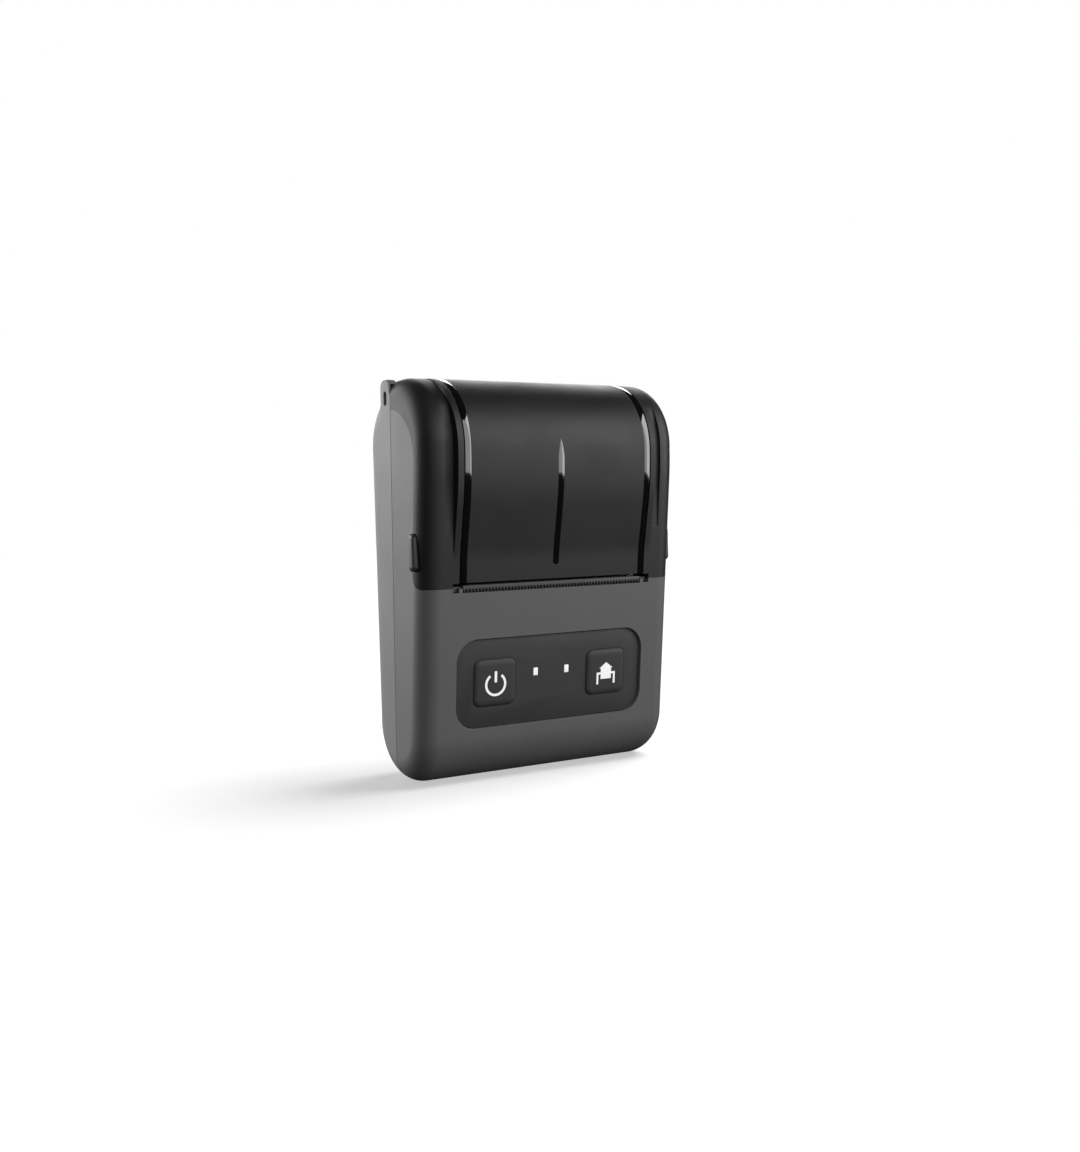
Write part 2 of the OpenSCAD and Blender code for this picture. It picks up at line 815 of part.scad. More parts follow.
module motor_pinion() {
    color([0.75, 0.6, 0.3]) {
        rod(22, gear_x + 0.1, motor_c, 0.95);
        along_x(gear_x, gear_x + gear_w) translate(motor_c) gear_outline(pinion_teeth, pinion_turn);
    }
}

module idler_gear() {
    color("ivory") difference() {
        along_x(gear_x, gear_x + gear_w) translate(idler_c) gear_outline(idler_teeth, idler_turn);
        rod(gear_x - 1, gear_x + gear_w + 1, idler_c, 1.05);
    }
}

module paper_sensor() {
    color(gloss_black) {
        block(-3, 3, 25.4, 26.2, 59.5, 63);
        block(-2, 2, 22.7, 24.2, 60, 63);
    }
}

module button(side) {
    color(gloss_black) mirror([side < 0 ? 1 : 0, 0, 0]) {
        intersection() {
            block(carrier_x, button_out, button_s[0], button_s[1], button_z[0], button_z[1]);
            along_x(30, 60) translate([(button_s[0] + button_s[1]) / 2, (button_z[0] + button_z[1]) / 2])
                rounded(button_s[1] - button_s[0], button_z[1] - button_z[0], 1.2);
        }
        block(carrier_x, carrier_x + 1.2, 22.6, button_s[1] - 0.2, 60.8, 72.4);
        rod(stem_x, carrier_x + 0.5, stem_c, 0.8);
        rod(carrier_x - 3, carrier_x + 0.5, spring_c, 1.2);
    }
}

module button_left() {
    button(-1);
}

module button_right() {
    button(1);
}

// Bell crank: its rear arm is pushed in and its inner arm swings forward against the lid
module lifter(side) {
    color(steel) mirror([side < 0 ? 1 : 0, 0, 0]) difference() {
        union() {
            post(lifter_x, lifter_s, lifter_z[0], lifter_z[1], 1.9);
            block(lifter_x - lifter_half, lifter_x + lifter_half, stem_c[0] - 1.3, lifter_s,
                lifter_z[0], lifter_z[1]);
            block(lifter_tip_x, lifter_x, lifter_s - lifter_half, lifter_s + lifter_half,
                lifter_z[0], lifter_z[1]);
        }
        post(lifter_x, lifter_s, 60, 80, 1.05);
    }
}

module lifter_left() {
    lifter(-1);
}

module lifter_right() {
    lifter(1);
}

// Spring round the button's peg, drawn at the length it has with the button pressed in
module button_spring(side) {
    color(steel) mirror([side < 0 ? 1 : 0, 0, 0]) translate([tub_out, back_y - spring_c[0], spring_c[1]])
        rotate([0, 90, 0]) coil(1.8, 0.25, carrier_x - tub_out - button_travel - 0.1, 5);
}

module button_spring_left() {
    button_spring(-1);
}

module button_spring_right() {
    button_spring(1);
}

// Recessed dark panel that the keys come up through
module key_panel() {
    color(shell_black) difference() {
        on_front(panel_z) {
            plate(panel_w - 0.3, panel_h - 0.3, panel_r - 0.15, -2.4, -0.8);
            plate(panel_w + 3, panel_h + 2, panel_r + 1, -3.4, -2.3);
        }
        on_front(panel_z) for (x = [-key_x, key_x]) translate([x, 0, 0])
            plate(key_w + 0.4, key_w + 0.4, 2.2, -4, 1);
        at_lamps() plate(1.6, 2.4, 0.2, -4, 1);
    }
}

// A key: domed cap, a flange behind the panel and a stem over its switch
module key(x) {
    on_front(panel_z) translate([x, 0, 0]) {
        plate(key_w, key_w, 2, key_bottom + 0.2, -0.5);
        hull() {
            plate(key_w, key_w, 2, -0.5, -0.4);
            plate(key_w - 1.6, key_w - 1.6, 1.6, -0.2, -0.1);
        }
        plate(key_w + 2, key_w + 2, 2, key_bottom, -3.5);
    }
}

module power_key() {
    color(shell_black) key(-key_x);
}

module feed_key() {
    color(shell_black) key(key_x);
}

module light_guides() {
    color("white") at_lamps() plate(1.5, 2.3, 0.2, -6.2, -0.8);
}

module key_board() {
    color(board_green) difference() {
        on_front(panel_z) plate(75.4, 19.6, 2, key_board_top - board_t, key_board_top);
        at_key_screws() translate([0, 0, key_board_top - 2]) cylinder(r = 0.9, h = 3);
    }
}

module key_switches() {
    color(steel) on_front(panel_z) for (x = [-key_x, key_x]) translate([x, 0, 0]) {
        plate(6, 6, 0.4, key_board_top, key_bottom - key_travel - 0.6);
        translate([0, 0, key_board_top + 0.5])
            cylinder(r = 1.6, h = key_bottom - key_travel - key_board_top - 0.6);
    }
}

module lamps() {
    color("khaki") at_lamps() plate(1.4, 2.2, 0.1, key_board_top, key_board_top + 0.7);
}

module main_board() {
    color(board_green) difference() {
        union() {
            block(-32.4, 32.4, board_s, board_s + board_t, 6, 38.4);
            block(30, 36.4, board_s, board_s + board_t, usb_z - 5.5, usb_z + 5.5);
        }
        both_sides() for (z = board_screw_z) peg(board_screw_x, z, 10, 30, 0.9);
    }
}

module board_screws() {
    color(steel) {
        both_sides() for (z = board_screw_z) {
            peg(board_screw_x, z, board_s + board_t, board_s + board_t + 1.1, 1.7);
            peg(board_screw_x, z, board_s - 2.4, board_s + board_t + 1, 0.8);
        }
        at_key_screws() translate([0, 0, key_board_top - board_t - 1]) {
            cylinder(r = 1.7, h = 1);
            cylinder(r = 0.8, h = 5);
        }
    }
}

module chips() {
    s = board_s + board_t;
    color(gloss_black) {
        block(-8, 2, s, s + 1.1, 19, 29);
        block(-21, -15, s, s + 1, 18, 23);
        block(13, 20, s, s + 1.3, 9, 14);
        block(5, 10, s, s + 0.9, 21, 25);
    }
}

module radio_module() {
    s = board_s + board_t;
    color(board_green) block(-21.8, -10, s, s + 0.8, 26, 38);
    color(steel) block(-20.8, -11, s + 0.8, s + 2.4, 29, 37);
}

module connectors() {
    s = board_s + board_t;
    color("ivory") {
        block(-9, 9, s, s + 1.8, 33, 36.4);
        block(13, 22, s, s + 2.4, 33, 37);
        block(-8, 8, s, s + 1.8, 8.5, 11.5);
    }
}

module usb_socket() {
    color(steel) along_x(34.4, half_w - 0.4) translate([usb_s, usb_z]) rotate(90) difference() {
        rounded(9, 3.2, 1.5);
        rounded(8.4, 2.6, 1.2);
    }
    color(gloss_black) along_x(34.4, half_w - 1) translate([usb_s - 0.35, usb_z - 3.3]) square([0.7, 6.6]);
    color(gloss_black) along_x(34.4, 35.4) translate([usb_s, usb_z]) rotate(90) rounded(9, 3.2, 1.5);
}

module battery_pack() {
    color([0.2, 0.28, 0.42]) along_x(-26.8, 26.8)
        for (z = [bay_z[0] + 10, bay_z[1] - 10]) translate([9, z]) rounded(12.8, 19.8, 3);
}

module battery_contacts() {
    color([0.8, 0.66, 0.3]) for (x = contact_x) {
        block(x - 1, x + 1, 15.6, board_s, 44, 45);
        block(x - 1, x + 1, board_s - 0.6, board_s, 36, 45);
    }
}

// Flat cable between the key board and the main board
module key_flex() {
    s = board_s + board_t + 1.8;
    color([0.75, 0.45, 0.15]) along_x(-6, 6)
        polygon([[s, 9.8], [s + 0.8, 9.8], [s + 1.9, 11.5], [s + 2.8, 17], [s + 3.06, 21.5], [s + 2.76, 21.5],
            [s + 2.5, 17.1], [s + 1.6, 11.7], [s + 0.7, 10.1], [s, 10.1]]);
}

rear_shell();
front_shell();
top_cover();
battery_door();
case_screws();
lid();
lid_liner();
lid_strip_left();
lid_strip_right();
lid_strip_centre();
hinge_pin();
platen_shaft();
platen_rubber();
platen_gear();
platen_bushes();
tear_bar();
mech_frame();
mech_screws();
print_head();
heater_strip();
head_pin();
head_springs();
head_flex();
motor();
motor_pinion();
idler_gear();
paper_sensor();
button_left();
button_right();
lifter_left();
lifter_right();
button_spring_left();
button_spring_right();
key_panel();
power_key();
feed_key();
light_guides();
key_board();
key_switches();
lamps();
main_board();
board_screws();
chips();
radio_module();
connectors();
usb_socket();
battery_pack();
battery_contacts();
key_flex();
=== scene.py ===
import math

import bmesh
import bpy
from mathutils import Matrix, Vector


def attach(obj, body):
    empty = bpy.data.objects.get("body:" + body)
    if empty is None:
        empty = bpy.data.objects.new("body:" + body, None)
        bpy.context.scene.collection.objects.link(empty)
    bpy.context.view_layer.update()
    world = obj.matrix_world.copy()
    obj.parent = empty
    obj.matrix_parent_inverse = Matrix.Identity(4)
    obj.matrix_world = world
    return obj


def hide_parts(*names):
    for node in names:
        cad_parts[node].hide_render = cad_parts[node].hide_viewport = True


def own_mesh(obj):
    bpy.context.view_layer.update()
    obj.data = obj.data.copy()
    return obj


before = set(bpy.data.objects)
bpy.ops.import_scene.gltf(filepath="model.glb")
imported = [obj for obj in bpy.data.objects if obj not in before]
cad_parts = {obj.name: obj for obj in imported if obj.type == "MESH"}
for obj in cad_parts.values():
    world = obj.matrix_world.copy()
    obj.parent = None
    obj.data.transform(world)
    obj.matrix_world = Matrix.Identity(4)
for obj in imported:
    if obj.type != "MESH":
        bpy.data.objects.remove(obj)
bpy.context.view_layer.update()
print("frame loaded:", len(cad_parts), "nodes")

# Sizes are in millimetres. s is the distance forward from the flat back, z the height.
mm = 0.001
body = {
    "height": 116, "width": 85.6, "baseDepth": 31.9, "frontLean": 6.2, "lidLean": 11.9, "kneeZ": 65.45,
    "kneeR": 40, "splitZ": 56.3, "browR": 82, "noseR": 20.5, "crownR": 19, "edgeR": 6, "backEdgeR": 10,
    "crestR": 5.5, "footR": 7.5, "toeR": 15, "heelR": 17.9, "wall": 2, "seamS": 17.3, "seamLean": 1.9,
    "grooveWidth": 0.22, "grooveDepth": 0.4, "landX": 33.5, "landWall": 1.1, "landDraft": 0.3,
    "cheekIn": 5.9, "cornerR": 3.8, "cheekTop": (20.2, 92.2), "cheekTopR": 15, "hingeIn": 9.2,
}
# planes that lie clear of the body, for tools that reach right through it
farX, farFront, farLow, farTop = 60, 70, -9, 130


def sind(a):
    return math.sin(math.radians(a))


def cosd(a):
    return math.cos(math.radians(a))


def tand(a):
    return math.tan(math.radians(a))


# the lines of the front and the centres of the arcs
lowerLine = body["baseDepth"] * cosd(body["frontLean"])
kneeS = body["baseDepth"] + body["kneeZ"] * tand(body["frontLean"])
upperLine = kneeS * cosd(body["lidLean"]) - body["kneeZ"] * sind(body["lidLean"])
noseZ = body["height"] - body["noseR"]


def browAt(line, lean):
    return (line - body["browR"] + noseZ * sind(lean)) / cosd(lean)


browS, shoulderS = browAt(upperLine, body["lidLean"]), browAt(lowerLine, body["frontLean"])
noseS = browS + body["browR"] - body["noseR"]
noseC, crownC = (noseS, noseZ), (body["crownR"], body["height"] - body["crownR"])
backY = (noseS + body["noseR"]) / 2
halfW = body["width"] / 2
hingeC = (crownC[0] - body["hingeIn"], crownC[1] + body["hingeIn"])
rollR = body["crownR"] - body["hingeIn"] * math.sqrt(2)
platenC = (31.2, 61.85)


def faceS(z):
    if z < body["kneeZ"]:
        return body["baseDepth"] + z * tand(body["frontLean"])
    return kneeS + (z - body["kneeZ"]) * tand(body["lidLean"])


def seamAt(z):
    return body["seamS"] + z * tand(body["seamLean"])


def arc(c, r, a0, a1, steps):
    angles = [a0 + (a1 - a0) * i / steps for i in range(steps + 1)]
    return [(c[0] + r * cosd(a), c[1] + r * sind(a)) for a in angles]


def circle(c, r, steps):
    return arc(c, r, 0, 360 - 360 / steps, steps - 1)


def blendArc(c, r, in0, in1, a0, a1, steps):
    pts = []
    for i in range(steps + 1):
        k = i / steps
        a = a0 + (a1 - a0) * k
        rr = r - in0 - (in1 - in0) * k
        pts.append((c[0] + rr * cosd(a), c[1] + rr * sind(a)))
    return pts


def turned(r, d):
    return 0 if d >= r else r - math.sqrt(r * r - (r - d) * (r - d))


# side outline, moved in by f at the front, c at the top, b at the back and q at the foot;
# that of the shoulders has no knee
def profile(f, c, b, q, shoulder=False):
    toeS = (lowerLine - body["toeR"] + body["toeR"] * sind(body["frontLean"])) / cosd(body["frontLean"])
    mid = (body["frontLean"] + body["lidLean"]) / 2
    reach = body["kneeR"] / cosd((body["lidLean"] - body["frontLean"]) / 2)
    dip = (kneeS + reach * cosd(mid), body["kneeZ"] - reach * sind(mid))
    pts = blendArc((body["heelR"], body["heelR"]), body["heelR"], b, q, 180, 270, 36)
    pts += blendArc((toeS, body["toeR"]), body["toeR"], q, f, 270, 360 - body["frontLean"], 36)
    topLean, topS, rise = (body["frontLean"], shoulderS, 3) if shoulder else (body["lidLean"], browS, 0)
    for i in range(9):
        lean = body["frontLean"] + (topLean - body["frontLean"]) * i / 8
        pts.append((dip[0] - (body["kneeR"] + f) * cosd(lean) + rise * i / 8 * sind(body["frontLean"]),
                    dip[1] + (body["kneeR"] + f) * sind(lean) + rise * i / 8 * cosd(body["frontLean"])))
    pts += arc((topS, noseZ), body["browR"] - f, 360 - topLean, 359, 12)
    pts += blendArc(noseC, body["noseR"], f + browS - topS, c, 0, 90, 40)
    pts += blendArc(crownC, body["crownR"], c, b, 90, 126, 15)
    pts += blendArc(crownC, body["crownR"], b, b, 128.5, 180, 21)
    return pts


def outline(d, t, shoulder):
    return profile(t + turned(body["edgeR"] - t, d), t + turned(body["crestR"] - t, d),
                   t + turned(body["backEdgeR"] - t, d), t + turned(body["footR"] - t, d), shoulder)


def side(t, shoulder=False):
    return profile(t, t, t, t, shoulder)


# meshes: points come as (x, s, z)
def place(p):
    return (p[0] * mm, (backY - p[1]) * mm, p[2] * mm)


def newObject(name, data):
    obj = bpy.data.objects.new(name, data)
    bpy.context.scene.collection.objects.link(obj)
    return obj


def emptyPiece(name):
    return newObject(name, bpy.data.meshes.new(name))


def loft(name, rings):
    n, m = len(rings[0]), len(rings)
    faces = [(j * n + i, j * n + (i + 1) % n, (j + 1) * n + (i + 1) % n, (j + 1) * n + i)
             for j in range(m - 1) for i in range(n)]
    faces += [tuple(range(n - 1, -1, -1)), tuple((m - 1) * n + i for i in range(n))]
    mesh = bpy.data.meshes.new(name)
    mesh.from_pydata([place(p) for r in rings for p in r], [], faces)
    bm = bmesh.new()
    bm.from_mesh(mesh)
    bmesh.ops.recalc_face_normals(bm, faces=bm.faces)
    bm.to_mesh(mesh)
    bm.free()
    mesh.validate()
    return newObject(name, mesh)


def prism(x0, x1, outlineSz):
    return loft("prism", [[(x, s, z) for s, z in outlineSz] for x in (x0, x1)])


def block(x0, x1, s0, s1, z0, z1):
    return prism(x0, x1, [(s0, z0), (s1, z0), (s1, z1), (s0, z1)])


def rod(x0, x1, c, r, steps=64):
    return prism(x0, x1, circle(c, r, steps))


def peg(x, z, s0, s1, r):
    return loft("peg", [[(px, s, pz) for px, pz in circle((x, z), r, 48)] for s in (s0, s1)])


def pegs(spots, s0, s1, r):
    return [peg(x, z, s0, s1, r) for x, z in spots]


def post(x, s, z0, z1, r):
    return loft("post", [[(px, ps, z) for px, ps in circle((x, s), r, 48)] for z in (z0, z1)])


# from a to b on the right side for k = 1, on the left for k = -1
def span(k, a, b):
    return sorted((k * a, k * b))


# a place on the lower front face, from the key panel's middle: x across, y up the face, h out of it
def onFront(x, y, h):
    lean, z0 = body["frontLean"], case["panelZ"]
    return (x, faceS(z0) + y * sind(lean) + h * cosd(lean), z0 + y * cosd(lean) - h * sind(lean))


def roundedRect(w, h, r, steps=10):
    x, y = w / 2 - r, h / 2 - r
    pts = []
    for quarter, corner in enumerate(((x, y), (-x, y), (-x, -y), (x, -y))):
        pts += arc(corner, r, 90 * quarter, 90 * quarter + 90, steps)
    return pts


# a rounded plate on the front face, its outline w by h at each height given as (height, inset)
def plateOn(name, cx, cy, w, h, r, levels, steps=12):
    rings = []
    for level, inset in levels:
        ring = roundedRect(w - 2 * inset, h - 2 * inset, max(r - inset, 0.05), steps)
        rings.append([onFront(cx + x, cy + y, level) for x, y in ring])
    return loft(name, rings)


# booleans
def applied(obj):
    deps = bpy.context.evaluated_depsgraph_get()
    mesh = bpy.data.meshes.new_from_object(obj.evaluated_get(deps))
    old = obj.data
    obj.modifiers.clear()
    obj.data = mesh
    bpy.data.meshes.remove(old)
    return obj


def solid(obj, tools, operation):
    for tool in tools:
        mod = obj.modifiers.new("bool", "BOOLEAN")
        mod.object, mod.operation, mod.solver = tool, operation, "MANIFOLD"
    applied(obj)
    for tool in tools:
        mesh = tool.data
        bpy.data.objects.remove(tool)
        bpy.data.meshes.remove(mesh)
    return obj


def cut(obj, *tools):
    return solid(obj, tools, "DIFFERENCE")


def join(obj, *tools):
    return solid(obj, tools, "UNION")


def keep(obj, *tools):
    return solid(obj, tools, "INTERSECT")


def smooth(obj, angle=28):
    bm = bmesh.new()
    bm.from_mesh(obj.data)
    bmesh.ops.remove_doubles(bm, verts=bm.verts, dist=1e-7)
    bmesh.ops.dissolve_degenerate(bm, edges=bm.edges, dist=1e-7)
    bm.to_mesh(obj.data)
    bm.free()
    obj.data.shade_smooth()
    obj.data.set_sharp_from_angle(angle=math.radians(angle))
    return obj


def bevel(obj, width, angle=40, segments=2):
    mod = obj.modifiers.new("bevel", "BEVEL")
    mod.width, mod.segments = width * mm, segments
    mod.limit_method, mod.angle_limit = "ANGLE", math.radians(angle)
    mod.use_clamp_overlap = True
    return applied(obj)


# the whole body, t inside its surface: the shoulders from each side wall in, then the land beside the lid
def bodySolid(name, t):
    half, steps = halfW - t, 16
    shoulderW = half - body["landX"] + body["landWall"] * t / body["wall"]
    turns = [(body[r] - t) * (1 - cosd(90 * k / steps))
             for r in ("edgeR", "backEdgeR") for k in range(steps + 1)]
    ds = [0.0]
    for d in sorted(turns):
        if d - ds[-1] > 0.02 and shoulderW - d > 0.1:
            ds.append(d)
    stations = [(d, True) for d in ds + [shoulderW]]
    stations += [(shoulderW + body["landDraft"], False), (shoulderW + 4 * body["landDraft"], False)]
    xs = [(d - half, d, high) for d, high in stations]
    xs += [(-x, d, high) for x, d, high in reversed(xs)]
    return loft(name, [[(x, s, z) for s, z in outline(d, t, high)] for x, d, high in xs])


def seamEdge(offset):
    return [(seamAt(z) + offset, z) for z in (farLow, farTop)]


def behindSeam():
    return prism(-farX, farX, [(farLow, farLow), *seamEdge(0), (farLow, farTop)])


def beforeSeam(gap=0):
    return prism(-farX, farX, [(farFront, farLow), *seamEdge(gap), (farFront, farTop)])


def cheekOutline():
    r, top, topR = body["cornerR"], body["cheekTop"], body["cheekTopR"]
    corner = faceS(body["splitZ"]) - body["cheekIn"] + r
    pts = [(farLow, 40), (corner, 40)] + arc((corner, body["splitZ"] + r), r, 270, 180, 20)
    return pts + arc(top, topR, 0, 90, 28) + [(farLow, top[1] + topR)]


def skin(name):
    return cut(bodySolid(name, 0), bodySolid("inner", body["wall"]))


# the groove in each shoulder beside the land: crisp at its sides, running out below and over the top
channel = {"innerX": 33.42, "outerX": 36.2, "depth": 0.85, "lowZ": (73.0, 82.0), "highZ": (101.5, 109.5)}


def channelCut():
    ring = side(0, True)
    floor = []
    for i, (s, z) in enumerate(ring):
        a, b = ring[i - 1], ring[(i + 1) % len(ring)]
        ns, nz = b[1] - a[1], a[0] - b[0]
        length = math.hypot(ns, nz) or 1
        low = min(1, max(0, (z - channel["lowZ"][0]) / (channel["lowZ"][1] - channel["lowZ"][0])))
        high = min(1, max(0, (channel["highZ"][1] - z) / (channel["highZ"][1] - channel["highZ"][0])))
        f = low * low * (3 - 2 * low) * high * high * (3 - 2 * high)
        w = (channel["depth"] + 0.05) * f - 0.05
        floor.append((s - ns / length * w, z - nz / length * w))
    tools = []
    for k in (1, -1):
        x0, x1 = span(k, channel["innerX"], channel["outerX"])
        box = block(x0, x1, 24, 60, channel["lowZ"][0] - 1, channel["highZ"][1] + 1)
        tools.append(cut(box, prism(x0 - 1, x1 + 1, floor)))
    return tools


# shallow grooves along the joints between the shells
def seamGroove():
    g = body["grooveWidth"] / 2
    back, front = seamEdge(-g), seamEdge(g)
    return cut(prism(-farX, farX, [back[0], *front, back[1]]), bodySolid("inner", body["grooveDepth"]))


# shells: screws, battery bay and door at the back, panel, mouth, buttons and socket in front
case = {
    "screwX": 36, "screwZ": (20, 96), "bossR": 3.6, "bossEndS": 24.4, "bossGap": 0.2, "headR": 2.7,
    "headS": 3.5, "clearR": 1.3, "pilotR": 1.2, "boardScrewX": 24, "boardScrewZ": (24, 35), "boardS": 19.4,
    "boardPostR": 2, "boardPilotR": 0.8, "bayX": 27.2, "bayZ": (20.6, 60.2), "bayS": 16.4, "lining": 1.2,
    "rim": 3.4, "rimS": 3, "doorX": 29, "doorZ": (18.4, 61.8), "doorT": 1.6, "doorGap": 0.2,
    "slotHalf": 31.4, "rearLipZ": 103.5, "panelZ": 28.6, "panelW": 63.2, "panelH": 25.9, "panelR": 6.5,
    "earX": 33, "earZ": 47, "earR": 2.6, "earPilotR": 0.9, "frameFrontS": 34, "keyScrewX": 35.6,
    "keyScrewY": 7.5, "keyBoardTop": -7.4, "mouthX": 30.3, "mouthZ": 55, "lidZ": 57.8, "clipS": 36.5,
    "clipX": 33.4, "clipLowZ": 55.1, "buttonS": (31.7, 34.9), "buttonZ": (61.6, 71.7), "buttonGap": 0.2,
    "usbS": 22.4, "usbZ": 31, "usbOpening": (10, 4.2, 2), "contactX": (-14, -10, 10), "contactHalf": 1.6,
    "contactZ": (43, 46),
}
screwSpots = [(k * case["screwX"], z) for k in (1, -1) for z in case["screwZ"]]
boardSpots = [(k * case["boardScrewX"], z) for k in (1, -1) for z in case["boardScrewZ"]]
earSpots = [(k * case["earX"], case["earZ"]) for k in (1, -1)]
doorPin = (case["doorT"] / 2, case["doorZ"][0] + case["doorT"] / 2)


def sidePair(x0, x1, *rest):
    return [block(x0, x1, *rest), block(-x1, -x0, *rest)]


def rearShell():
    shell = keep(skin("rearShell"), behindSeam())
    bx, bz, s, top = case["bayX"], case["bayZ"], case["bayS"], case["boardS"]
    rim, lining, back = case["rim"], case["lining"], case["doorT"] + 0.1
    bosses = [keep(peg(x, z, 1, seamAt(z) - case["bossGap"], case["bossR"]), bodySolid("inner", 0.5))
              for x, z in screwSpots]
    join(shell, strapLug(), block(-bx - rim, bx + rim, back, case["rimS"], bz[0] - rim, bz[1] + rim),
         block(-bx - lining, bx + lining, back, s + lining, bz[0] - lining, bz[1] + lining), *bosses,
         *pegs(boardSpots, s, top, case["boardPostR"]))
    dx, dz, gap, half = case["doorX"], case["doorZ"], case["doorGap"], case["contactHalf"]
    cut(shell, block(-case["slotHalf"], case["slotHalf"], -1, 30, case["rearLipZ"], farTop),
        block(-dx - gap, dx + gap, -1, back, dz[0] - gap, dz[1] + gap), block(-bx, bx, -1, s, bz[0], bz[1]),
        rod(-dx - 1.1, dx + 1.1, doorPin, 0.5), seamGroove(), prism(-50, -38.6, strapSlot()),
        *pegs(screwSpots, -1, case["headS"], case["headR"]), *pegs(screwSpots, 3, 30, case["clearR"]),
        *pegs(boardSpots, top - 2.4, top + 1, case["boardPilotR"]),
        *[block(x - half, x + half, s - 1, top, *case["contactZ"]) for x in case["contactX"]])
    return smooth(shell)


def strapSlot():
    g = lug
    low, high = (g["slotS"], g["slotZ"]), (g["slotS"], g["slotZ"] + g["slotH"])
    return arc(low, g["slotR"], 180, 360, 14) + arc(high, g["slotR"], 0, 180, 14)


# the ear for the wrist strap; its way is the opening in front, where the strap leaves the slot
lug = {
    "backS": 14.2, "frontS": 20.5, "thick": 2.7, "cornerR": 2.4, "slotS": 17.6, "slotZ": 109.6, "slotH": 2.1,
    "slotR": 1, "softness": 0.35, "wayX": (0.55, 2.1), "wayZ": (109.4, 114.6), "waySoft": 0.4,
}


def strapLug():
    g = lug
    s0, s1, r, top = g["backS"], g["frontS"], g["cornerR"], body["height"]
    pts = [(s0, 100), (s1, 100), *arc((s1 - r, top - r), r, 0, 90, 12)]
    pts += arc((s0 + r, top - r), r, 90, 180, 12)
    ear = bevel(prism(-halfW, g["thick"] - halfW, pts), g["softness"], 50, 3)
    way = block(g["wayX"][0] - halfW, g["wayX"][1] - halfW, g["slotS"], s1 + 1, *g["wayZ"])
    way = bevel(way, g["waySoft"], 40, 3)
    return cut(ear, bodySolid("inner", body["wall"]), way)


def mouthCut():
    x, z, clipX, clipZ = case["mouthX"], case["mouthZ"], case["clipX"], case["clipLowZ"]
    return [block(-x, x, 30, 60, z, case["lidZ"] + 0.1), *sidePair(31.4, clipX, 35, 60, clipZ, 57.6),
            *sidePair(x - 1, clipX, 34, case["clipS"] + 0.1, clipZ, 57)]


def buttonCut():
    s, z, gap = case["buttonS"], case["buttonZ"], case["buttonGap"]
    return sidePair(30, 50, s[0] - gap, s[1] + gap, z[0] - gap, z[1] + gap)


def frontShell():
    zone = join(prism(-farX, farX, cheekOutline()), block(-farX, farX, 0, farFront, -1, body["splitZ"]))
    shell = keep(skin("frontShell"), beforeSeam(), zone)
    gap, end, low = case["bossGap"], case["bossEndS"], case["keyBoardTop"]
    earS, earEnd = case["frameFrontS"], faceS(case["earZ"])
    bosses = [keep(peg(x, z, seamAt(z) + gap, end, case["bossR"]), bodySolid("inner", 0.5))
              for x, z in screwSpots]
    webs = [keep(block(*span(k, case["screwX"], halfW), seamAt(z) + gap, end, z - 1, z + 1),
                 bodySolid("inner", 0.5)) for k in (1, -1) for z in case["screwZ"]]
    ears = pegs(earSpots, earS, earEnd - 1, case["earR"])
    spots = [(a * case["keyScrewX"], b * case["keyScrewY"]) for a in (1, -1) for b in (1, -1)]
    posts = [plateOn("post", x, y, 3.8, 3.8, 1.89, [(low, 0), (low + 6, 0)], 10) for x, y in spots]
    join(shell, *bosses, *webs, *ears, *posts)
    socket = [(case["usbS"] + y, case["usbZ"] + x) for x, y in roundedRect(*case["usbOpening"])]
    levels = [(-5, 0), (-0.25, 0), (0.25, -0.25), (2, -0.25)]
    cut(shell, plateOn("recess", 0, 0, case["panelW"], case["panelH"], case["panelR"], levels, 20),
        *pegs(screwSpots, 10, end - 1.2, case["pilotR"]),
        *pegs(earSpots, earS - 1, earEnd - 1.4, case["earPilotR"]),
        *[plateOn("hole", x, y, 1.6, 1.6, 0.79, [(low - 1, 0), (low + 4, 0)], 10) for x, y in spots],
        *mouthCut(), *buttonCut(), seamGroove(), prism(halfW - 4, halfW + 2, socket))
    return smooth(shell)


lidPart = {"width": 62.2, "skin": 1.5, "liner": 0.8, "bottomZ": 57.8, "stripWidth": 2, "stripDepth": 0.7}
tubPart = {
    "inX": 29.2, "pocketX": 31, "outX": 32.3, "pocketZ": 82, "pocketS": 16.4, "floorZ": 65.8, "floorT": 1.4,
    "frontS": 24.2, "lifterX": 35, "lifterS": 28.7, "lifterZ": (68.5, 70.5), "shelfX": 36.8,
    "shelfHalf": 2.5, "stopX": 36.9, "stopS": (24, 26), "stopZ": (61.5, 63.5), "pinR": 1.25,
}


def lidSlot():
    half, inner = case["slotHalf"], lidPart["skin"] + lidPart["liner"] + 0.2
    outer = cut(block(-half, half, -5, 65, body["splitZ"] - 1, body["splitZ"] + 69),
                prism(-half - 1, half + 1, side(inner)))
    hinge = join(rod(-half, half, hingeC, rollR + 0.4),
                 block(-half, half, 0, hingeC[0], hingeC[1] - 8.5, hingeC[1] + 2))
    hub = rollR - lidPart["skin"] - 0.4
    cut(hinge, rod(tubPart["inX"], half + 1, hingeC, hub), rod(-half - 1, -tubPart["inX"], hingeC, hub))
    return [outer, hinge]


